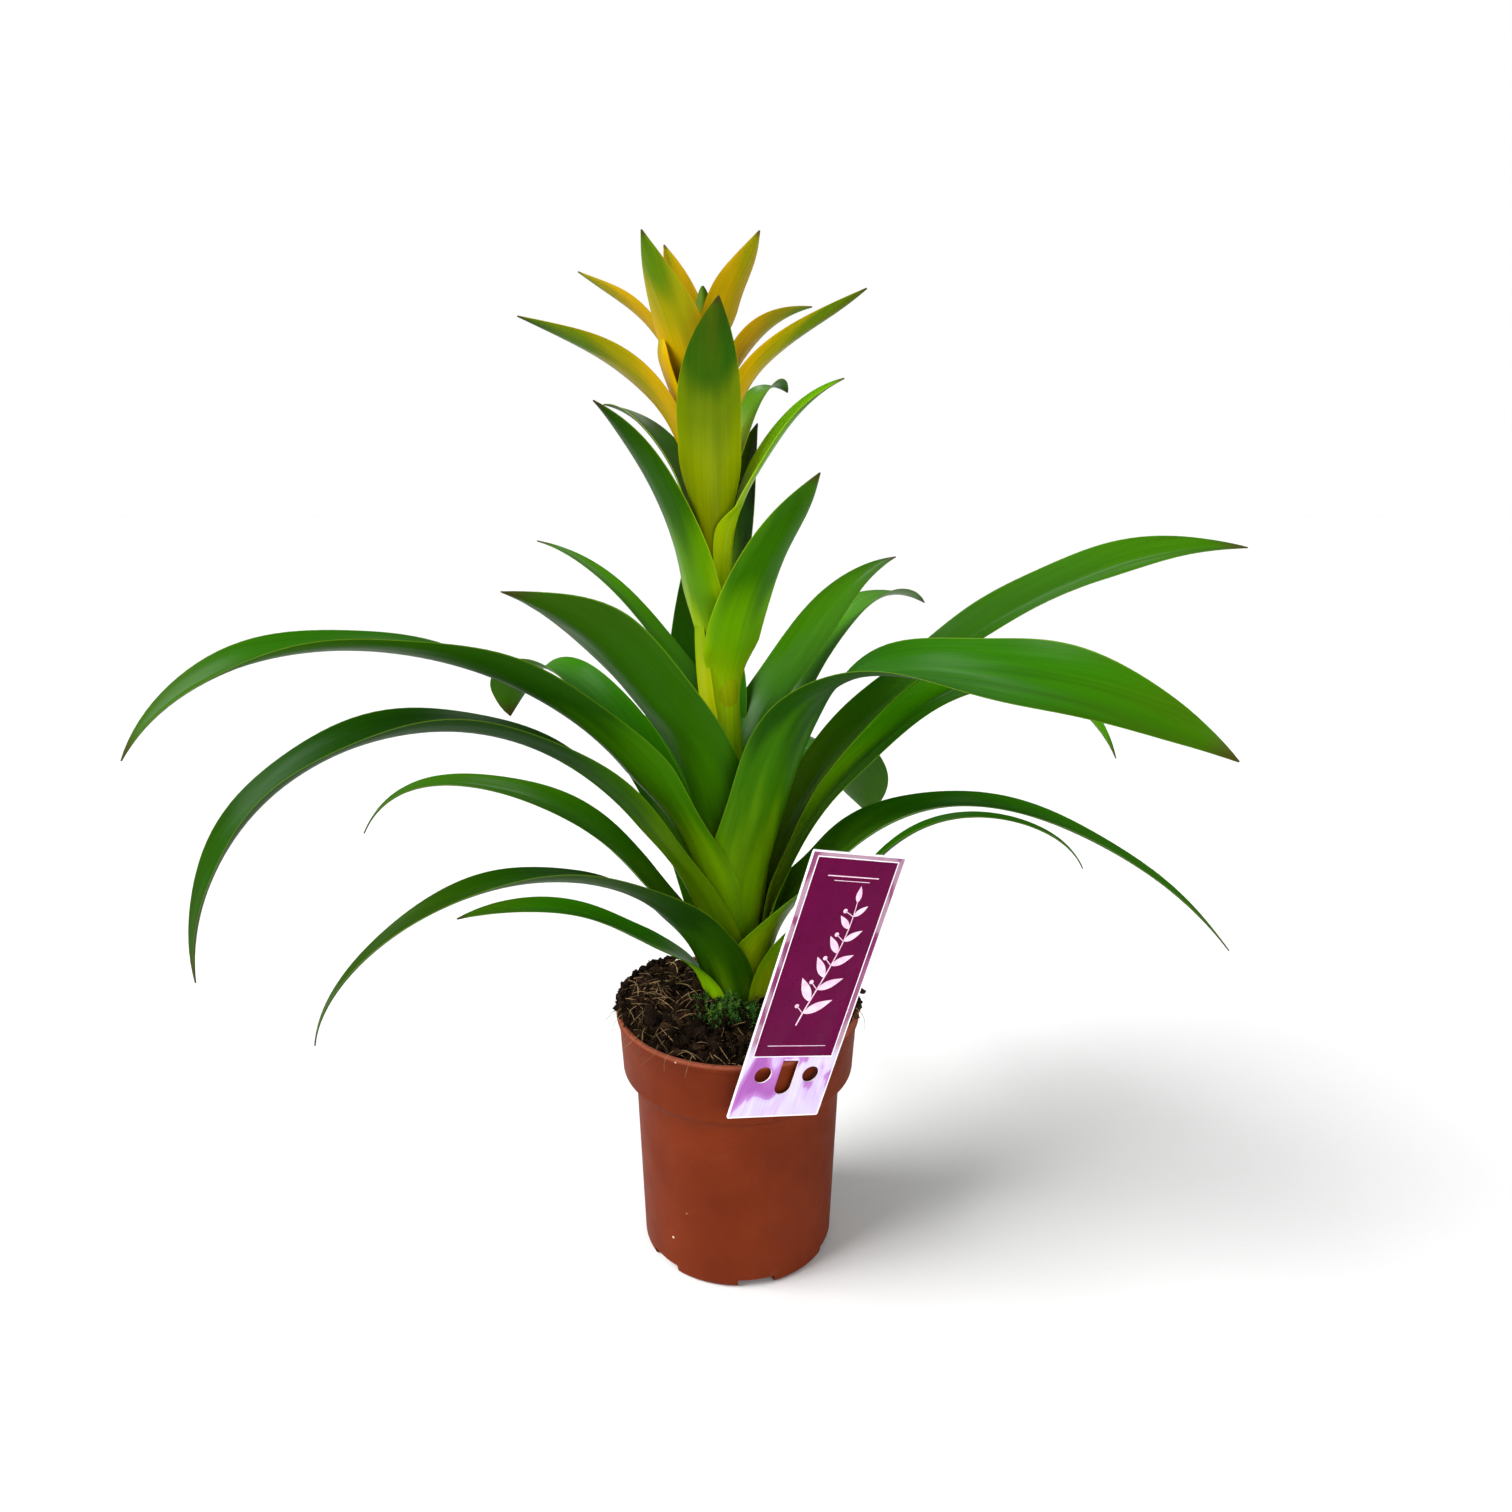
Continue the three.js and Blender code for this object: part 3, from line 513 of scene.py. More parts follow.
def label_material():
    """Offset-printed polypropylene card under a gloss varnish: a plum panel in a fine white rule on a border
    of soft washes, dusky pink beside the panel and lilac and violet below it, with a white edge."""
    material, add = new_material("gloss_printed_polypropylene_card")
    card = add("UVMap", uv_map="card")
    parts = add("SeparateXYZ", (card,))

    def inside(left, right, bottom, top):
        """1 inside a rectangle on the card, in mm from its middle, 0 outside it."""
        sides = []
        for axis, low, high in ((0, left, right), (1, bottom, top)):
            off = add("Math", (parts.outputs[axis], (low + high) / 2 * MM), operation="SUBTRACT")
            far = add("Math", (off,), operation="ABSOLUTE")
            sides.append(add("Math", (far, (high - low) / 2 * MM), operation="LESS_THAN"))
        return add("Math", sides, operation="MULTIPLY")

    # washes: slanting petals of colour about 17 mm wide and 38 mm long
    slant = add("Mapping", {"Vector": card, "Rotation": (0, 0, math.radians(-38)), "Scale": (60, 26, 1)})
    wash = add("TexNoise", {"Vector": slant, "Scale": 1.0, "Detail": 2.0, "Distortion": 0.5},
               noise_dimensions="2D")
    violet = set_stops(add("ValToRGB", (wash,)),
                       [(0.46, "#D2C8EC"), (0.53, "#CBB4E4"), (0.56, "#B880C4"), (0.66, "#A25CAC")])
    # fine brush streaks in them, 1.1 mm wide
    streak_place = add("Mapping", {"Vector": card, "Rotation": (0, 0, math.radians(-52)),
                                   "Scale": (900, 60, 1)})
    streak = add("TexNoise", {"Vector": streak_place, "Scale": 1.0, "Detail": 2.0}, noise_dimensions="2D")
    streak_value = add("Math", (streak, 0.3, 0.86), operation="MULTIPLY_ADD")
    streaked = add("HueSaturation", {"Color": violet, "Value": streak_value})
    dusky = set_stops(add("ValToRGB", (wash,)),
                      [(0.40, "#AD8C9E"), (0.54, "#A37E94"), (0.58, "#8C4A72"), (0.66, "#7A2C5C")])
    beside = add("MapRange", (parts.outputs[1], -35 * MM, -27 * MM, 0.0, 1.0))
    border = add("Mix", {SHARE: beside, BASE: streaked, OVER: dusky}, data_type="RGBA")
    white = srgb("#F4EEF4")
    half_w, half_l = CARD_W / 2 - WHITE_EDGE, CARD_L / 2 - WHITE_EDGE
    framed = add("Mix", {SHARE: inside(-half_w, half_w, -half_l, half_l), BASE: white, OVER: border},
                 data_type="RGBA")
    rule = inside(PANEL["left"] - RULE_W, PANEL["right"] + RULE_W, PANEL["bottom"] - RULE_W,
                  PANEL["top"] + RULE_W)
    ruled = add("Mix", {SHARE: rule, BASE: framed, OVER: white}, data_type="RGBA")
    lay = add("TexNoise", {"Vector": card, "Scale": 60.0, "Detail": 2.0})
    plum = set_stops(add("ValToRGB", (lay,)), [(0.35, "#580036"), (0.65, "#60003A")])
    face = add("Mix", {SHARE: inside(**PANEL), BASE: ruled, OVER: plum}, data_type="RGBA")
    # only the front is printed: the back and the cut edge show the white card
    front = add("Attribute", attribute_name="printed")
    colour = add("Mix", {SHARE: front, BASE: srgb("#F3EEF4"), OVER: face}, data_type="RGBA")
    scuffs = add("TexNoise", {"Vector": card, "Scale": 220.0, "Detail": 4.0})
    gloss = add("MapRange", (scuffs, 0.3, 0.75, 0.24, 0.42))
    shader = add("BsdfPrincipled", {"Base Color": colour, "Roughness": gloss, "IOR": 1.49,
                                    "Specular IOR Level": 0.05})
    add("OutputMaterial", (shader,))
    return material


def ink_material():
    """Pale pink printing ink for the label's sprig, very slightly raised, with an uneven lay."""
    material, add = new_material("pale_pink_printing_ink")
    lay = add("TexNoise", {"Vector": add("TexCoord").outputs["Object"], "Scale": 300.0, "Detail": 2.0})
    ramp = set_stops(add("ValToRGB", (lay,)), [(0.3, "#E2B4CF"), (0.7, "#F3D7E6")])
    add("OutputMaterial", (add("BsdfPrincipled", {"Base Color": ramp, "Roughness": 0.35}),))
    return material


def floor_material():
    """Matt white studio paper, with a faint fibre about 1 mm across."""
    material, add = new_material("matt_white_paper")
    fibre = add("TexNoise", {"Vector": add("TexCoord").outputs["Object"], "Scale": 900.0, "Detail": 2.0})
    ramp = set_stops(add("ValToRGB", (fibre,)), [(0.3, "#E8E8E8"), (0.7, "#EBEBEB")])
    shader = add("BsdfPrincipled", {"Base Color": ramp, "Roughness": 0.95, "Specular IOR Level": 0.1})
    add("OutputMaterial", (shader,))
    return material


# Leaves and bracts

def through(values, s):
    """Smooth value at s (0 to 1) through evenly spaced values."""
    n = len(values) - 1
    x = clamp(s * n, 0, n - 1e-9)
    i = int(x)
    t = x - i
    b, c = values[i], values[i + 1]
    a = values[i - 1] if i > 0 else 2 * b - c
    d = values[i + 2] if i + 2 <= n else 2 * c - b
    return 0.5 * (2 * b + (c - a) * t + (2 * a - 5 * b + 4 * c - d) * t * t
                  + (3 * b - 3 * c + d - a) * t * t * t)


def stem_radius(z):
    for (z0, r0), (z1, r1) in zip(STEM, STEM[1:]):
        if z <= z1:
            return lerp(r0, r1, (z - z0) / (z1 - z0))
    return STEM[-1][1]


def blade_shape(spec):
    """A blade's row with the sizes that all blades of its kind share: its sheath wraps the plant out to hold
    from the axis and comes free over the next release, and it is broader over its first hug, all in mm."""
    rosette = "layer" in spec
    shape = dict(sweep=0, girth=[1, 1], taper=0.5, crease=0.32, cup=32, clasp=54 if rosette else 75)
    shape.update(spec)
    if rosette:
        shape.update(radius=LAYER_IN + LAYER_STEP * spec["layer"], start=LEAF_BASE, hug=120, hold=17,
                     release=26)
    else:
        shape.update(radius=stem_radius(spec["start"]) + SHEATH_GAP, hug=50, hold=5, release=7)
    shape["roll"] = [0] + spec.get("roll", [0, 0])
    return shape


def midrib(leaf, steps, fine=3):
    """The blade's middle line: (s, distance out, height, climb) at each step."""
    line = [(0.0, leaf["radius"], leaf["start"], math.radians(leaf["climb"][0]))]
    ds = 1 / (steps * fine)
    r, z = leaf["radius"], leaf["start"]
    for i in range(1, steps * fine + 1):
        a = math.radians(through(leaf["climb"], (i - 0.5) * ds))
        r += math.cos(a) * ds * leaf["length"]
        z += math.sin(a) * ds * leaf["length"]
        if i % fine == 0:
            line.append((i * ds, r, z, math.radians(through(leaf["climb"], i * ds))))
    return line


def half_width(leaf, s, wrap, out):
    """Half the blade's width in mm: a quarter more at its base, and less again just before its tip."""
    broad = leaf["width"] / 2 * (1 + 0.25 * (1 - ease(s * leaf["length"] / leaf["hug"])))
    broad *= through(leaf["girth"], s)
    body = lerp(broad, min(broad, out * math.radians(leaf["clasp"])), wrap)
    t = clamp((s - leaf["taper"]) / (1 - leaf["taper"]))
    drip = 1 - 0.3 * ease((s - 0.93) / 0.05) * (1 - t)
    return TIP_HALF + (body - TIP_HALF) * (1 - t ** 2.2) * drip


def blade_point(leaf, station, v, waver):
    """A point of the blade's mid-surface, v from -1 to 1 across, and its distance across in mm."""
    s, out, up, angle = station
    wrap = 1 - ease((out - leaf["hold"]) / leaf["release"])
    half = half_width(leaf, s, wrap, out)
    heading = math.radians(leaf["heading"] + leaf["sweep"] * s ** 1.5)
    roll = math.radians(through(leaf["roll"], s)) * (1 - wrap)
    outward = direction(heading)
    side = Vector((-outward.y, outward.x, 0))
    upward = Vector((0, 0, 1))
    level = -math.sin(angle) * outward + math.cos(angle) * upward
    cross = math.cos(roll) * side + math.sin(roll) * level
    inward = math.cos(roll) * level - math.sin(roll) * side
    # the free blade is a shallow trough, and the sheath is wrapped round the plant
    cup = math.radians(leaf["cup"])
    trough = half / cup
    sag = 0.7 * trough * (1 - math.cos(cup))
    free = outward * out + upward * up + cross * (trough * math.sin(cup * v))
    free += inward * (trough * (1 - math.cos(cup * v)) - sag)
    around = half / out * v
    sheath = (math.cos(around) * outward + math.sin(around) * side) * out + upward * up
    point = free.lerp(sheath, wrap)
    # a crease along the midrib and slow waves in the free margins
    crease = -leaf["crease"] * math.exp(-(v / 0.22) ** 2) * (1 - wrap) * clamp((1 - s) * 6)
    ripple = math.sin(s * leaf["length"] / 13 + waver + 1.9 * (v > 0))
    wave = 0.05 * half * abs(v) ** 2.5 * (1 - wrap) * ripple
    point += inward * (crease + wave)
    point.x -= LEAN * (point.z - LEAF_BASE)
    return point, v * half


def make_blade(name, spec, steps, sides, slot):
    """A blade from a flat grid: steps along it and BLADE_COLUMNS across, drawn into shape and made thick."""
    # the blade's tone carries painted light and shade as well as its own colour
    tone = BLADE_TONES_AND_PAINTED_SHADING.get(name, 1.0) * random.uniform(0.95, 1.05)
    leaf = blade_shape(spec)
    line = midrib(leaf, steps)
    waver = random.uniform(0, FULL_TURN)
    piece = primitive("grid", name + "_blade", x_subdivisions=steps, y_subdivisions=BLADE_COLUMNS, size=1)
    mesh = piece.data
    along, across, spread = [], [], []
    for vertex in mesh.vertices:
        i = round((vertex.co.x + 0.5) * steps)
        v = clamp((vertex.co.y + 0.5) * 2 - 1, -1, 1)
        point, off = blade_point(leaf, line[i], v, waver)
        vertex.co = point * MM
        along.append(line[i][0])
        across.append(v)
        spread.append((off * MM, line[i][0] * leaf["length"] * MM))
    point_values(piece, "along", along)
    point_values(piece, "across", across)
    even_values(piece, tone=tone, age=AGES.get(name, 0.0))
    # each blade reads another stretch of the streaks
    start = random.uniform(0, 3)
    lay_flat(piece, "blade", lambda index: (spread[index][0] + start, spread[index][1] + start))
    # thinner towards the margins
    thin = piece.vertex_groups.new(name="thickness")
    for index, v in enumerate(across):
        thin.add([index], 1 - 0.65 * abs(v) ** 5, "REPLACE")
    for side in sides:
        mesh.materials.append(side)
    apply_modifier(piece, "SOLIDIFY", thickness=BLADE_T * MM, offset=0, material_offset=1,
                   material_offset_rim=1, vertex_group="thickness", use_even_offset=False)
    smooth(piece, 50)
    keep_piece(piece, slot, name)


# Turned pieces

def turned_solid(name, outline, sides):
    """A closed solid turned round Z: outline is (radius, height) from the first flat end to the last."""
    r, z = outline[0]
    piece = primitive("circle", name, vertices=sides, radius=r * MM, fill_type="NGON",
                      location=(0, 0, z * MM))
    edit_all(piece)
    for next_r, next_z in outline[1:]:
        bpy.ops.mesh.extrude_region_move(TRANSFORM_OT_translate={"value": (0, 0, (next_z - z) * MM)})
        factor = next_r / r
        bpy.ops.transform.resize(value=(factor, factor, 1), center_override=(0, 0, next_z * MM))
        r, z = next_r, next_z
    bpy.ops.mesh.select_all(action="DESELECT")
    bpy.ops.mesh.select_face_by_sides(number=sides)
    bpy.ops.mesh.poke()
    bpy.ops.object.mode_set(mode="OBJECT")
    recalculate_normals(piece)
    return piece


def rounded(corner, before, after, radius, steps=3):
    """Points round a corner of an outline."""
    c, a, b = Vector(corner), Vector(before), Vector(after)
    start = c + (a - c).normalized() * radius
    end = c + (b - c).normalized() * radius
    points = []
    for i in range(steps + 1):
        t = i / steps
        points.append(tuple(start * (1 - t) ** 2 + c * 2 * t * (1 - t) + end * t * t))
    return points


def make_pot():
    # each corner: radius, height, rounding
    corners = [
        (BASE_R - 2.4, 0, 0), (BASE_R - 0.7, 0.8, 0.6), (BASE_R, 2.6, 0.8), (NECK_R, COLLAR_BOTTOM - 7, 1.5),
        (NECK_R + 1.6, COLLAR_BOTTOM - 4.2, 1.2), (COLLAR_R - 1.3, COLLAR_BOTTOM - 1.4, 1.2),
        (COLLAR_R, COLLAR_BOTTOM, 0.9), (RIM_R - 1.3, POT_H - LIP_H, 0.5),
        (RIM_R - 0.2, POT_H - LIP_H + 0.5, 0.35), (RIM_R, POT_H - 1.2, 0.8), (RIM_R - 0.7, POT_H, 0.5),
        (RIM_R - 1.6 - WALL, POT_H, 0.8), (COLLAR_R - WALL, COLLAR_BOTTOM + 0.6, 0.8),
        (NECK_R - WALL, COLLAR_BOTTOM - 5, 1.2), (BASE_R - WALL, FLOOR, 1.2), (CHANNEL_FROM, FLOOR, 0)]
    outline = [corners[0][:2]]
    for before, (r, z, radius), after in zip(corners, corners[1:], corners[2:]):
        outline += rounded((r, z), before[:2], after[:2], radius)
    outline.append(corners[-1][:2])
    pot = turned_solid("nursery_pot", outline, POT_SIDES)
    channel_l = 60
    for i in range(CHANNEL_COUNT):
        angle = math.radians(CHANNEL_START + i * 360 / CHANNEL_COUNT)
        away = direction(angle)
        middle = away * (CHANNEL_FROM + channel_l / 2) * MM + Vector((0, 0, (CHANNEL_H / 2 - 2) * MM))
        channel = primitive("cube", size=1, location=middle, rotation=(0, 0, angle),
                            scale=(channel_l * MM, CHANNEL_W * MM, (CHANNEL_H + 4) * MM))
        apply_modifier(channel, "BEVEL", width=0.8 * MM, segments=3)
        drain = primitive("cylinder", vertices=40, radius=DRAIN_R * MM, depth=20 * MM,
                          location=away * DRAIN_AT * MM)
        cut_away(pot, channel)
        cut_away(pot, drain)
    pot.data.materials.append(pot_material())
    smooth(pot, 35)
    keep_piece(pot, "pot_plastic", "pot")


def lean_over(piece):
    for vertex in piece.data.vertices:
        vertex.co.x -= LEAN * max(0.0, vertex.co.z - LEAF_BASE * MM)


def dress_turned(piece, along, tone, skin_r, shift):
    """Values that the blades' materials read, on a turned piece: along at each point, one tone, and a uv map
    that goes round it at skin_r mm and up it. Shift is where its axis stands, in mm to the left."""
    point_values(piece, "along", along)
    even_values(piece, across=0.0, tone=tone)

    def place(index):
        co = piece.data.vertices[index].co
        return math.atan2(co.y, co.x + shift * MM) * skin_r * MM, co.z

    lay_flat(piece, "blade", place)


def make_stem():
    foot, top = STEM[0][0], STEM[-1][0]
    outline = [(STEM[0][1], foot)]
    z = foot
    while z < top - 1:
        z += 3
        # a faint swelling at each joint of the stalk, 21 mm apart
        swell = 0.25 * math.exp(-((z % 21) / 4) ** 2)
        outline.append((stem_radius(min(z, top)) + swell, min(z, top)))
    outline.append((1.4, top))
    stem = turned_solid("stalk", outline, 40)
    lean_over(stem)
    # its colours run from the pale base of a bract's to a third of the way
    dress_turned(stem, [clamp((v.co.z / MM - 128) / 300) * 0.3 for v in stem.data.vertices], 1.0, 5, 0)
    stem.data.materials.append(MATERIALS["bract_green"][1])
    smooth(stem)
    keep_piece(stem, "stem_green", "stem")


def make_bud():
    outline = [(1.2, 424.3), (2.6, 424.6), (3.7, 428), (4.7, 432.5), (5.2, 438), (5.15, 442), (4.5, 447),
               (3.5, 451.6), (2.4, 455), (1.4, 457.4), (0.5, 458.8)]
    bud = turned_solid("closed_bud", outline, 48)

    def share(vertex):
        return (vertex.co.z / MM - BUD_FOOT) / BUD_L

    for vertex in bud.data.vertices:
        # five overlapping sepals wrap round the bud
        angle = math.atan2(vertex.co.y, vertex.co.x)
        height = share(vertex)
        fold = 1 + 0.06 * math.sin(5 * angle + 3.2 * height) * clamp(height * 2) * clamp((1 - height) * 4)
        vertex.co.x *= fold
        vertex.co.y *= fold
    lean_over(bud)
    dress_turned(bud, [0.3 + 0.65 * clamp(share(v)) for v in bud.data.vertices], 1.05, 5, 13.5)
    bud.data.materials.append(MATERIALS["head"][1])
    smooth(bud)
    keep_piece(bud, "bud_yellow", "flower_bud")


# Peat and moss

def peat_height(x, y):
    """Height of the peat's surface in mm at a place in mm."""
    r = math.hypot(x, y)
    angle = math.atan2(y, x)
    crown = SOIL_CROWN * (1 - ease((r - 10) / 47) ** 0.8)
    clods = 1.1 * math.sin(3 * angle + r * 0.11) + 0.9 * math.sin(5 * angle - r * 0.23 + 1.3)
    heap = 3.2 * math.exp(-((x + 38) ** 2 + y ** 2) / 420)
    return SOIL_RIM + crown + clods * ease((57 - r) / 9) + heap * ease((57 - r) / 12)


def spill(x, y):
    """How far the peat stands over the rim: most at the back left and at the right."""
    angle = math.degrees(math.atan2(y, x)) % 360
    left = math.exp(-((angle - 158) / 44) ** 2)
    right = 1.2 * math.exp(-(((angle + 180) % 360 - 180) / 20) ** 2)
    return left + right


def rough_height(x, y):
    """The peat's height with its spilled heaps, its lumps 9 and 4 mm across and its crumbs 1.5 mm across."""
    at = Vector((x, y, 0))
    lumps = 3.2 * noise.noise(at / 9) + 2.4 * noise.noise(at / 4.2 + Vector((7, 3, 1)))
    crumbs = 0.9 * noise.noise(at / 1.5 + Vector((1, 9, 4)))
    r = math.hypot(x, y)
    heap = 7.5 * spill(x, y) * ease((r - 26) / 24)
    return peat_height(x, y) + heap + (lumps + crumbs) * ease((58.5 - r) / 4) + 0.4


def make_peat_bed():
    outer = RIM_R - 1.6 - WALL - GAP
    outline = [(BASE_R - WALL - GAP - 0.2, FLOOR + GAP), (NECK_R - WALL - GAP, COLLAR_BOTTOM - 5),
               (COLLAR_R - WALL - GAP, COLLAR_BOTTOM + 0.8), (outer - 0.4, BED_EDGE - 0.3)]
    # rings over the top, down to the hole for the plant
    r = outer - 0.5
    while r > WELL_R + 0.4:
        outline.append((r, BED_EDGE + 4.2))
        r -= 0.62
    outline += [(WELL_R + 0.2, 134.0), (WELL_R - 0.1, WELL_FLOOR)]
    bed = turned_solid("peat_bed", outline, 240)
    for vertex in bed.data.vertices:
        x, y, z = (c / MM for c in vertex.co)
        r = math.hypot(x, y)
        if z > BED_EDGE and r > WELL_R + 0.3:
            vertex.co.z = rough_height(x, y) * MM
            vertex.co.x += 0.9 * MM * noise.noise(Vector((x, y, 5)) / 2.6) * ease((56 - r) / 4)
            vertex.co.y += 0.9 * MM * noise.noise(Vector((x, y, 25)) / 2.6) * ease((56 - r) / 4)
    even_values(bed, tone=0.8)
    bed.data.materials.append(PEAT_DARK)
    smooth(bed, 60)
    keep_piece(bed, "peat", "potting_soil")


def join_copies(name, models, places, slot, materials):
    """One mesh of many copies: places holds (model number, matrix, tone, material number)."""
    points, faces, tones, kinds = [], [], [], []
    for number, matrix, tone, kind in places:
        model_points, model_faces = models[number]
        first = len(points)
        points += [matrix @ p for p in model_points]
        faces += [[first + i for i in face] for face in model_faces]
        tones += [tone] * len(model_points)
        kinds += [kind] * len(model_faces)
    mesh = bpy.data.meshes.new(name)
    mesh.from_pydata(points, [], faces)
    piece = bpy.data.objects.new(name, mesh)
    bpy.context.scene.collection.objects.link(piece)
    point_values(piece, "tone", tones)
    for material in materials:
        mesh.materials.append(material)
    mesh.polygons.foreach_set("material_index", kinds)
    mesh.update()
    smooth(piece, 60)
    keep_piece(piece, slot)


def model_of(piece):
    """A modelled piece's points and faces, and the piece taken away."""
    found = ([v.co.copy() for v in piece.data.vertices], [list(p.vertices) for p in piece.data.polygons])
    bpy.data.objects.remove(piece)
    return found


def crumb_model(level, seed, stretch):
    """A lump of peat about 1 mm across."""
    crumb = primitive("ico_sphere", subdivisions=level, radius=0.5 * MM)
    for vertex in crumb.data.vertices:
        at = vertex.co.normalized()
        size = 1 + 0.75 * noise.noise(at * 1.3 + Vector((seed, 2, 3)))
        vertex.co = Vector((at.x * stretch, at.y, at.z * 0.75)) * size * 0.5 * MM
    return model_of(crumb)


def fibre_model(bends, turns):
    """A dry peat fibre 10 mm long and 0.3 mm thick, tapered, curved by a few random bends."""
    segments = 8
    fibre = primitive("circle", vertices=4, radius=FIBRE_R * MM, fill_type="NGON",
                      location=(-FIBRE_L / 2 * MM, 0, 0), rotation=(0, math.pi / 2, 0))
    edit_all(fibre)
    for _ in range(segments):
        bpy.ops.mesh.extrude_region_move(TRANSFORM_OT_translate={"value": (FIBRE_L / segments * MM, 0, 0)})
    bpy.ops.object.mode_set(mode="OBJECT")
    recalculate_normals(fibre)
    for vertex in fibre.data.vertices:
        t = vertex.co.x / (FIBRE_L * MM) + 0.5
        taper = 1 - 0.6 * t
        y = vertex.co.y * taper + bends[0] * MM * (t * t) * 4 + bends[1] * MM * math.sin(turns * t * 3)
        z = vertex.co.z * taper + bends[2] * MM * math.sin(t * math.pi)
        vertex.co = Vector((vertex.co.x, y, z))
    return model_of(fibre)


def leaflet_model():
    """A folded leaflet of moss 1 mm long, from the origin along X."""
    leaflet = primitive("cone", vertices=4, radius1=0.5 * MM, radius2=0, depth=0.16 * MM,
                        location=(0.5 * MM, 0, 0), rotation=(math.pi, 0, 0))
    edit_all(leaflet)
    bpy.ops.transform.resize(value=(1, 0.34, 1), center_override=(0, 0, 0))
    bpy.ops.object.mode_set(mode="OBJECT")
    return model_of(leaflet)


def moss_shoot_model(seed, leaflets=9, tall=6, spiral=2.4):
    """A shoot of moss, tall mm high, with folded leaflets all round in a spiral, in radians a leaflet."""
    pick = random.Random(seed)
    leaflet_points, leaflet_faces = leaflet_model()
    points, faces = [], []
    for k in range(leaflets):
        t = (k + 0.5) / leaflets
        long = lerp(2.6, 1.5, t) * pick.uniform(0.8, 1.2)
        rise = math.atan(lerp(0.35, 1.3, t))
        placed = (Matrix.Translation((0, 0, tall * t * MM)) @ turn(k * spiral, "Z") @ turn(-rise, "Y")
                  @ Matrix.Scale(long, 4))
        first = len(points)
        points += [placed @ p for p in leaflet_points]
        faces += [[first + i for i in face] for face in leaflet_faces]
    return points, faces


def ring_place(pick, low, high):
    """A random place between two radii."""
    r = math.sqrt(pick.uniform(low ** 2, high ** 2))
    angle = math.radians(pick.uniform(0, 360))
    return r * math.cos(angle), r * math.sin(angle)


def tumble(pick, x, y, z, size, tilt=HALF_TURN):
    """A copy's matrix at a place in mm, turned at random, and tilted by up to tilt radians."""
    turned = turn(pick.uniform(0, FULL_TURN), "Z") @ turn(pick.uniform(-tilt, tilt), "X")
    turned = turned @ turn(pick.uniform(-tilt, tilt), "Y")
    return Matrix.Translation(Vector((x, y, z)) * MM) @ turned @ Matrix.Diagonal((size, size, size, 1))


def make_crumbs():
    pick = random.Random(11)
    small, large = 4, 3
    models = [crumb_model(1, s * 3.7, 1.0 + 0.25 * s) for s in range(small)]
    models += [crumb_model(2, 20 + s * 5.1, 1.1 + 0.3 * s) for s in range(large)]
    places = []

    def drop(number, x, y, z, low, high, lightest, dark_share):
        """A crumb at a place, of a size between low and high mm; dark_share of them are dark peat."""
        matrix = tumble(pick, x, y, z, pick.uniform(low, high))
        places.append((number, matrix, pick.uniform(0.7, lightest), 0 if pick.random() < dark_share else 1))

    for _ in range(2300):
        x, y = ring_place(pick, 18.5, 56.3)
        drop(pick.randrange(small), x, y, rough_height(x, y) + 0.1, 0.8, 2.4, 1.7, 0.65)
    for _ in range(330):
        x, y = ring_place(pick, 19.5, 53.5)
        drop(small + pick.randrange(large), x, y, rough_height(x, y) + 0.4, 2.6, 6.4, 1.4, 0.75)
    # the heaps of loose peat at the back left and the right, which stand above the rim and lie on it
    for _ in range(1200):
        middle, spread = (160, 36) if pick.random() < 0.75 else (0, 16)
        angle, r = math.radians(pick.gauss(middle, spread)), pick.uniform(42, 60.2)
        x, y = r * math.cos(angle), r * math.sin(angle)
        lies = spill(x, y)
        if r > 56 and pick.random() > lies * 1.6 - 0.3:
            continue
        ground = rough_height(x, y) if r < 56.5 else POT_H + 0.5 + 4.2 * lies * (1 - (r - 56.5) / 4.5)
        number = pick.randrange(small + large)
        size = pick.uniform(1.0, 2.4) if number < small else pick.uniform(2.2, 4.2)
        matrix = tumble(pick, x, y, ground + pick.uniform(0, 1.2), size)
        places.append((number, matrix, pick.uniform(0.7, 1.6), 0 if pick.random() < 0.7 else 1))
    join_copies("peat_crumbs", models, places, "peat", [PEAT_DARK, PEAT_BROWN])


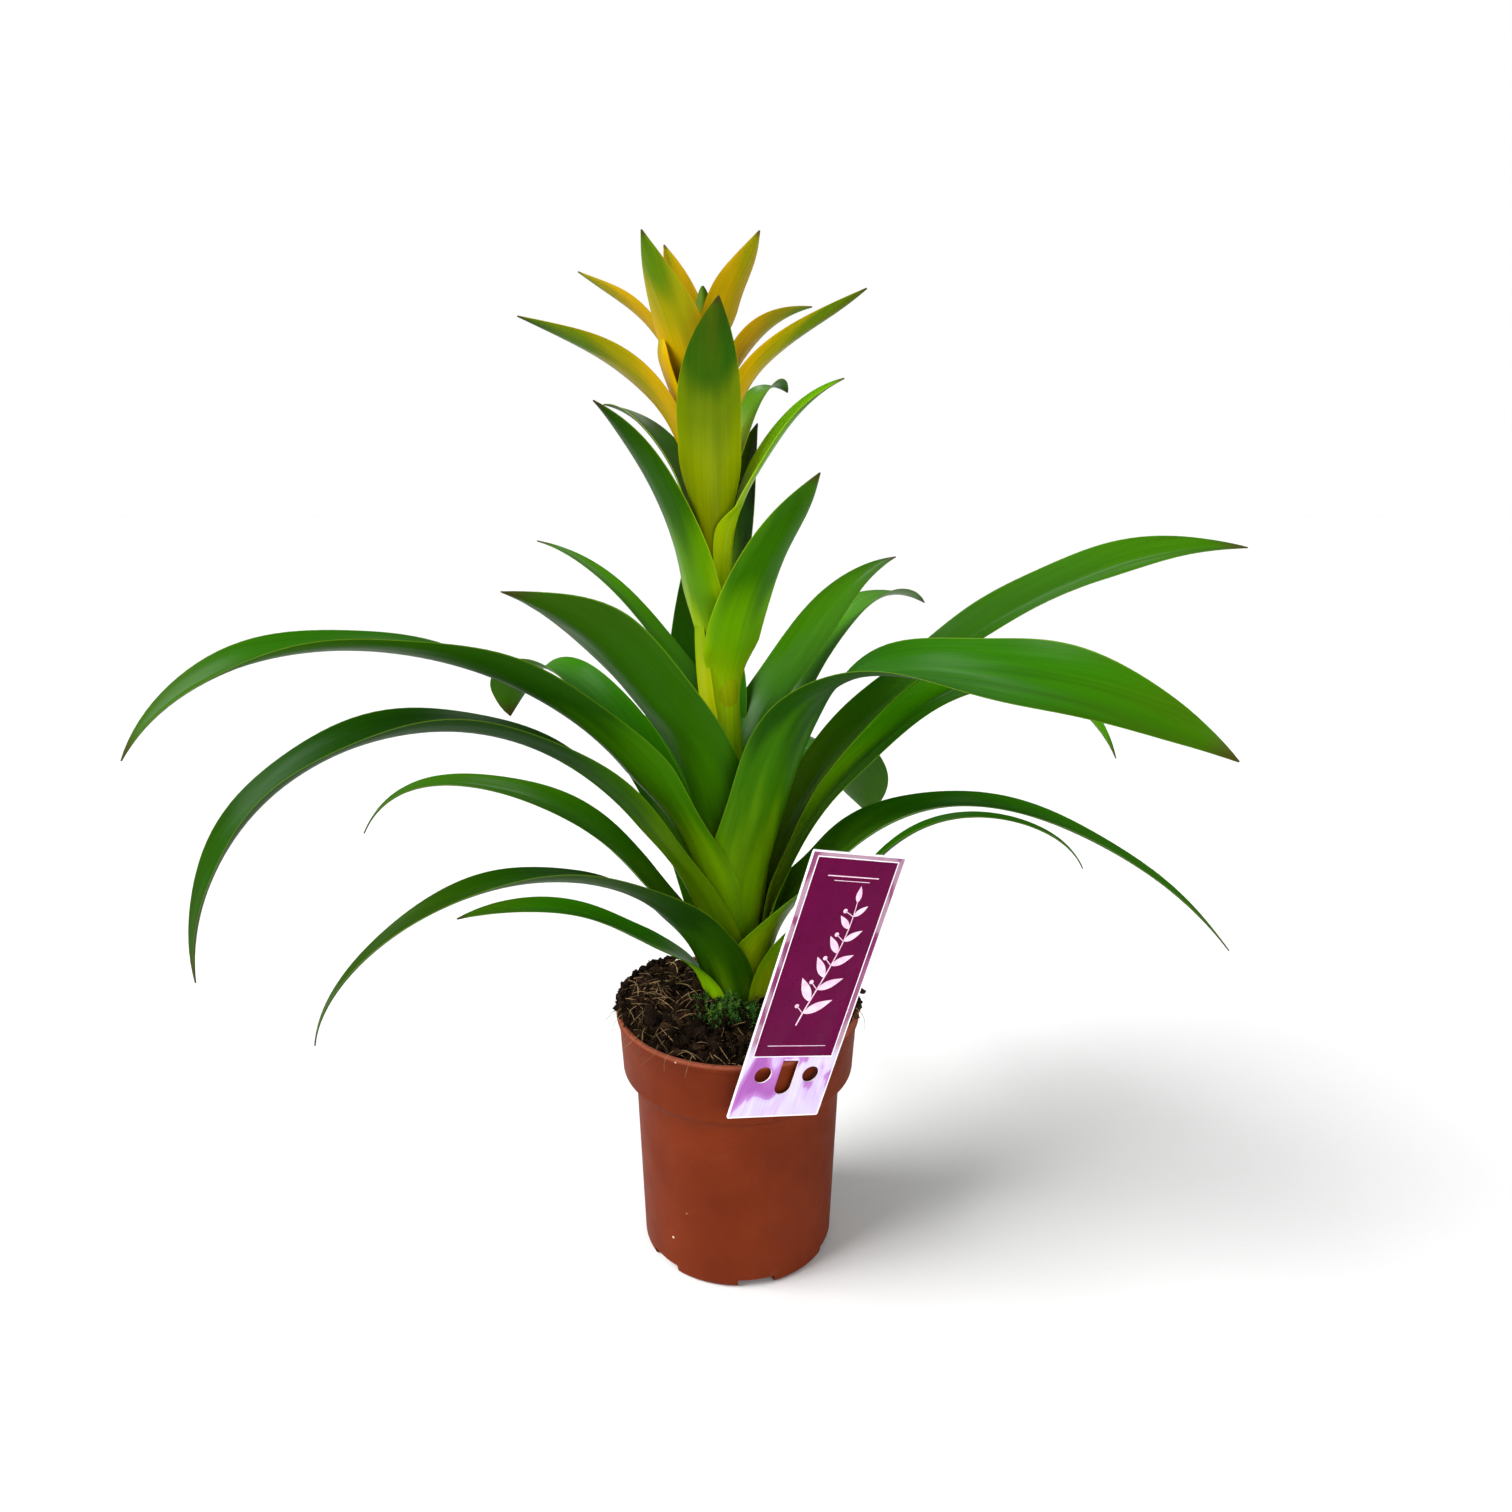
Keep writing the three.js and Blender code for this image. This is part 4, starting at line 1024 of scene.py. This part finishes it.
def make_fibres():
    pick = random.Random(23)
    kinds = 8
    models = [fibre_model((pick.uniform(-1, 1), pick.uniform(0.2, 1.1), pick.uniform(0.3, 2.2)),
                          pick.uniform(0.6, 2.4)) for _ in range(kinds)]
    places = []
    for _ in range(620):
        x, y = ring_place(pick, 19.5, 54.0)
        # a quarter of them lie on the heap at the left
        if pick.random() < 0.25:
            x, y = pick.gauss(-40, 8), pick.gauss(0, 16)
            if not 19 < math.hypot(x, y) < 53:
                continue
        matrix = tumble(pick, x, y, rough_height(x, y) + 1.0, pick.uniform(0.45, 1.6), 0.6)
        places.append((pick.randrange(kinds), matrix, pick.uniform(0.6, 1.9),
                       0 if pick.random() < 0.45 else 1))

    def lay(a, r, z, size, slope, tones, kind):
        """A fibre at an angle round the rim and a radius and height in mm."""
        at = Vector((r * math.cos(a), r * math.sin(a), z)) * MM
        matrix = Matrix.Translation(at) @ slope @ Matrix.Diagonal((size, size, size, 1))
        places.append((pick.randrange(kinds), matrix, pick.uniform(*tones), kind))

    # fine loops lie on the rim at the left
    for _ in range(60):
        a = math.radians(pick.gauss(198, 24))
        r, size = pick.uniform(55.5, 59.0), pick.uniform(0.5, 1.0)
        slope = turn(a + pick.uniform(-1.1, 1.1), "Z") @ turn(pick.uniform(-0.1, 0.5), "Y")
        slope = slope @ turn(pick.uniform(-1.5, 1.5), "X")
        lay(a, r, POT_H + pick.uniform(0.6, 3.0), size, slope, (0.5, 1.2), 0)
    # a few hang down over the rim at the left, the front and the right
    for angle in (176, 186, 193, 199, 204, 209, 215, 222, 231, 240, 252, -14, 2):
        a, size = math.radians(angle + pick.uniform(-3, 3)), pick.uniform(0.7, 1.3)
        slope = turn(a + pick.uniform(-0.4, 0.4), "Z") @ turn(pick.uniform(0.5, 1.3), "Y")
        slope = slope @ turn(pick.uniform(-1, 1), "X")
        lay(a, RIM_R + 1, POT_H - pick.uniform(0.0, 2.0), size, slope, (0.6, 1.1), 1)
    join_copies("peat_fibres", models, places, "peat", [PEAT_BROWN, PEAT_FIBRE])


def make_bark_chip():
    """A flake of bark that lies over the rim at the right."""
    chip = primitive("cube", "bark_chip", size=1, scale=(13 * MM, 6 * MM, 1.8 * MM))
    apply_modifier(chip, "SUBSURF", subdivision_type="SIMPLE", levels=4, render_levels=4)
    for vertex in chip.data.vertices:
        x, y, z = (c / MM for c in vertex.co)
        narrow = 1 - 0.55 * ease((x + 2) / 9)
        y = y * narrow + 0.6 * noise.noise(Vector((x, y, z)) / 2.3)
        z = z * narrow + 0.5 * noise.noise(Vector((x, y, z + 9)) / 1.6) + 0.012 * x * x
        vertex.co = Vector((x, y, z)) * MM
    chip.data.transform(Matrix.Translation(Vector((57.5, 4.5, POT_H + 6.5)) * MM)
                        @ turn(math.radians(-24), "Z") @ turn(math.radians(14), "Y"))
    even_values(chip, tone=1.1)
    chip.data.materials.append(PEAT_BROWN)
    smooth(chip, 60)
    keep_piece(chip, "peat")


def make_moss():
    pick = random.Random(5)
    kinds = 5
    models = [moss_shoot_model(k) for k in range(kinds)]
    places = []
    # tufts at the foot of the plant, as place, spread and count: in front and to the left, and smaller ones
    # to the right and behind
    for cx, cy, spread, count in ((-5, -22, 5.5, 230), (-17, -14, 3.0, 24), (8, -23, 5.5, 190),
                                  (20, -12, 4.0, 60), (-2, 22, 6.0, 60)):
        for _ in range(count):
            x, y = pick.gauss(cx, spread), pick.gauss(cy, spread * 0.5)
            if WELL_R - 0.4 < math.hypot(x, y) < 36:
                matrix = tumble(pick, x, y, rough_height(x, y) - 0.8, pick.uniform(0.35, 0.85), 0.55)
                places.append((pick.randrange(kinds), matrix, pick.uniform(0.6, 1.5), 0))
    join_copies("moss_tuft", models, places, "leaf_green", [moss_material()])


# Label

# how the card stands: it faces the heading, leans back and is rolled clockwise, in degrees
CARD_HEADING, CARD_LEAN, CARD_ROLL = -66.0, -8.0, 13.7
CARD_CENTRE = Vector((33.8, -59.3, 165.2))
CARD_PLACE = (Matrix.Translation(CARD_CENTRE * MM) @ turn(math.radians(CARD_HEADING + 90), "Z")
              @ turn(math.radians(90 - CARD_LEAN), "X") @ turn(math.radians(-CARD_ROLL), "Z"))
# the tongue that hooks over the rim, and the relief hole on each side of it
HOOK_AT, TONGUE_W, TONGUE_L = -39.0, 8.4, 15.5
HOLE_R, HOLE_AT, HOLE_DROP = 4.2, 12.4, 4.9


def make_label():
    card = primitive("cube", "label_card", size=1, scale=(CARD_W * MM, CARD_L * MM, CARD_T * MM))
    # the four corners are rounded
    edit_all(card)
    bpy.ops.mesh.select_mode(type="EDGE")
    bpy.ops.mesh.select_all(action="DESELECT")
    bpy.ops.object.mode_set(mode="OBJECT")
    for edge in card.data.edges:
        a, b = (card.data.vertices[i].co for i in edge.vertices)
        edge.select = abs(a.z - b.z) > 0.5 * CARD_T * MM
    bpy.ops.object.mode_set(mode="EDIT")
    bpy.ops.mesh.bevel(offset=0.8 * MM, segments=4, affect="EDGES")
    bpy.ops.object.mode_set(mode="OBJECT")
    half = TONGUE_W / 2
    top, foot = HOOK_AT + 2.5, HOOK_AT - TONGUE_L + half
    cuts = [primitive("cube", size=1, location=(0, (top + foot) / 2 * MM, 0),
                      scale=(TONGUE_W * MM, (top - foot) * MM, 4 * MM)),
            primitive("cylinder", vertices=48, radius=half * MM, depth=4.4 * MM, location=(0, foot * MM, 0))]
    for sign in (-1, 1):
        cuts.append(primitive("cylinder", vertices=48, radius=HOLE_R * MM, depth=4 * MM,
                              location=(sign * HOLE_AT * MM, (HOOK_AT - HOLE_DROP) * MM, 0)))
    for cut in cuts:
        cut_away(card, cut)
    # the tongue stands 60 degrees out of the card's back, over the rim
    tongue = primitive("cube", size=1, location=(0, -4.6 * MM, 0),
                       scale=((TONGUE_W - 0.8) * MM, 10 * MM, CARD_T * MM))
    tongue.data.transform(Matrix.Translation((0, (HOOK_AT + 3) * MM, 0)) @ turn(math.radians(60), "X"))
    apply_modifier(card, "BOOLEAN", operation="UNION", object=tongue, solver="EXACT")
    bpy.data.objects.remove(tongue)
    apply_modifier(card, "BEVEL", width=0.12 * MM, segments=2, limit_method="ANGLE",
                   angle_limit=math.radians(50))
    lay_flat(card, "card", lambda index: card.data.vertices[index].co.xy)
    printed = card.data.attributes.new("printed", "FLOAT", "FACE")
    printed.data.foreach_set("value", [1.0 if p.normal.z > 0.9 else 0.0 for p in card.data.polygons])
    card.data.transform(CARD_PLACE)
    card.data.materials.append(label_material())
    smooth(card, 30)
    keep_piece(card, "label_card", "plant_label")


def make_sprig():
    """A sprig of pointed leaves and round berries, and three plain rules: a film of ink on the card."""
    points, faces = [], []

    def flat_piece(outline):
        first = len(points)
        points.extend(Vector((x, y, 0)) for x, y in outline)
        faces.append(list(range(first, first + len(outline))))

    def leaf(x, y, long, wide, heading):
        cos, sin = math.cos(heading), math.sin(heading)
        ring = []
        for k in range(20):
            t = k / 20
            s = 2 * t if t < 0.5 else 2 - 2 * t
            w = wide / 2 * math.sin(math.pi * s ** 0.8) * (1 if t < 0.5 else -1)
            ring.append((x + cos * s * long - sin * w, y + sin * s * long + cos * w))
        flat_piece(ring)

    def stroke(a, b, wide):
        along = Vector((b[0] - a[0], b[1] - a[1])).normalized()
        off = Vector((-along.y, along.x)) * wide / 2
        flat_piece([(a[0] - off.x, a[1] - off.y), (b[0] - off.x, b[1] - off.y),
                    (b[0] + off.x, b[1] + off.y), (a[0] + off.x, a[1] + off.y)])

    def stalk(t):
        return (6.5 * math.sin(t * 2.6 - 0.7), -18 + 62 * t)

    def stalk_heading(t, ahead):
        step = Vector(stalk(ahead)) - Vector(stalk(t))
        return math.atan2(step.y, step.x)

    strokes, leaves = 30, 9
    for k in range(strokes):
        # each stroke runs a little under the next
        stroke(stalk(k / strokes), stalk((k + 1.06) / strokes), lerp(0.75, 0.35, k / strokes))
    for k in range(leaves):
        t = 0.1 + 0.098 * k
        x, y = stalk(t)
        heading = stalk_heading(t, t + 0.01)
        side = 1 if k % 2 else -1
        up = k / (leaves - 1)
        leaf(x, y, lerp(15, 8, up), lerp(4.6, 2.8, up), heading + side * math.radians(48))
        if k % 2 == 0:
            back = heading - side * math.radians(62)
            bx, by = x + 5.5 * math.cos(back), y + 5.5 * math.sin(back)
            stroke((x, y), (bx, by), 0.35)
            flat_piece([(bx + 1.05 * math.cos(q * math.pi / 8), by + 1.05 * math.sin(q * math.pi / 8))
                        for q in range(16)])
    x, y = stalk(1.0)
    leaf(x, y - 0.4, 8, 2.8, stalk_heading(0.98, 1.0))
    for half, height, wide in ((13, 55.5, 0.5), (9, 53.4, 0.3), (15, -28.6, 0.35)):
        stroke((-half, height), (half, height), wide)
    mesh = bpy.data.meshes.new("label_sprig")
    mesh.from_pydata([p * MM for p in points], [], faces)
    sprig = bpy.data.objects.new("label_sprig", mesh)
    bpy.context.scene.collection.objects.link(sprig)
    recalculate_normals(sprig)
    for polygon in mesh.polygons:
        if polygon.normal.z < 0:
            polygon.flip()
    apply_modifier(sprig, "SOLIDIFY", thickness=INK_T * MM, offset=1)
    mesh.transform(CARD_PLACE @ Matrix.Translation((0, 0, (CARD_T / 2 + INK_GAP) * MM)))
    mesh.materials.append(ink_material())
    keep_piece(sprig, "label_card")


# Making

random.seed(7)
PEAT_DARK = peat_material("moist_dark_peat", "#090502", "#180F06", "#35241A", 1.2)
PEAT_BROWN = peat_material("brown_fibrous_peat", "#140C05", "#2C1D10", "#5A4330", 0.9)
PEAT_FIBRE = peat_material("dry_peat_fibre", "#57432D", "#8C7250", "#B89C72", 0.7, 0.8)

BRIGHT_LEAVES = ("leaf_right_high", "leaf_right_mid", "leaf_right_top", "leaf_back_left_top",
                 "leaf_left_top", "leaf_back_right_high", "leaf_left_low")
for leaf_name, leaf_spec in LEAVES.items():
    sides = MATERIALS["rosette_bright" if leaf_name in BRIGHT_LEAVES else "rosette"]
    make_blade(leaf_name, leaf_spec, LEAF_STEPS, sides, "leaf_green")
for bract_name, bract_spec in BRACTS.items():
    if bract_name.startswith("head"):
        make_blade(bract_name, bract_spec, BRACT_STEPS, MATERIALS["head"], "bract_yellow")
    else:
        sides = MATERIALS["bract_tall" if bract_name == "bract_front_tall" else "bract_green"]
        make_blade(bract_name, bract_spec, BRACT_STEPS, sides, "bract_green")

make_stem()
make_bud()
make_pot()
make_peat_bed()
make_crumbs()
make_fibres()
make_bark_chip()
make_moss()
make_label()
make_sprig()

# Floor, light and camera

floor = primitive("plane", "paper_floor", size=12)
floor.data.materials.append(floor_material())

world = bpy.data.worlds.new("white_studio")
bpy.context.scene.world = world
world.use_nodes = True
sky = world.node_tree
dome = sky.nodes["Background"]
# soft light that is strongest overhead, in front of a plain white backdrop
sky_parts = add_node(sky, "SeparateXYZ", (add_node(sky, "TexCoord").outputs["Generated"],))
overhead = add_node(sky, "MapRange", (sky_parts.outputs["Z"], 0.0, 1.0, 0.19, 0.33))
seen = add_node(sky, "LightPath").outputs["Is Camera Ray"]
level = add_node(sky, "Mix", {0: seen, 2: overhead, 3: 1.0})
dome.inputs["Color"].default_value = (1.0, 1.0, 1.0, 1.0)
sky.links.new(level.outputs[0], dome.inputs["Strength"])


def add_light(name, kind, location, target, energy, **settings):
    light = bpy.data.lights.new(name, kind)
    light.energy = energy
    for key, value in settings.items():
        setattr(light, key, value)
    lamp = bpy.data.objects.new(name, light)
    bpy.context.scene.collection.objects.link(lamp)
    lamp.location = location
    lamp.rotation_euler = (Vector(target) - lamp.location).to_track_quat("-Z", "Y").to_euler()


add_light("front_softbox", "AREA", (0.6, -1.5, 0.4), (0, 0, 0.18), 17, shape="RECTANGLE",
          size=1.4, size_y=0.6)
add_light("back_softbox", "AREA", (0.1, 0.9, 1.5), (0, 0, 0.25), 3.5, shape="RECTANGLE",
          size=0.6, size_y=0.35)
add_light("window_light", "SUN", (-1.4, -0.42, 1.22), (0, 0, 0), 4.9, angle=math.radians(44))

# the photo's view: a pinhole camera 0.508 m in front of the pot's axis, fitted to the pot's ellipses
FRAME_PX, FOCAL_PX, AXIS_PX, TILT = 1512, 1130, 737.8, 74.57
lens = bpy.data.cameras.new("photo_camera")
camera = bpy.data.objects.new("photo_camera", lens)
bpy.context.scene.collection.objects.link(camera)
camera.location = (0, -0.508, 0.395)
camera.rotation_euler = (math.radians(TILT), 0, 0)
lens.sensor_width = 36
lens.lens = FOCAL_PX / FRAME_PX * 36
lens.shift_x = (FRAME_PX / 2 - AXIS_PX) / FRAME_PX
lens.clip_start = 0.01
bpy.context.scene.camera = camera
bpy.context.scene.view_settings.view_transform = "Standard"
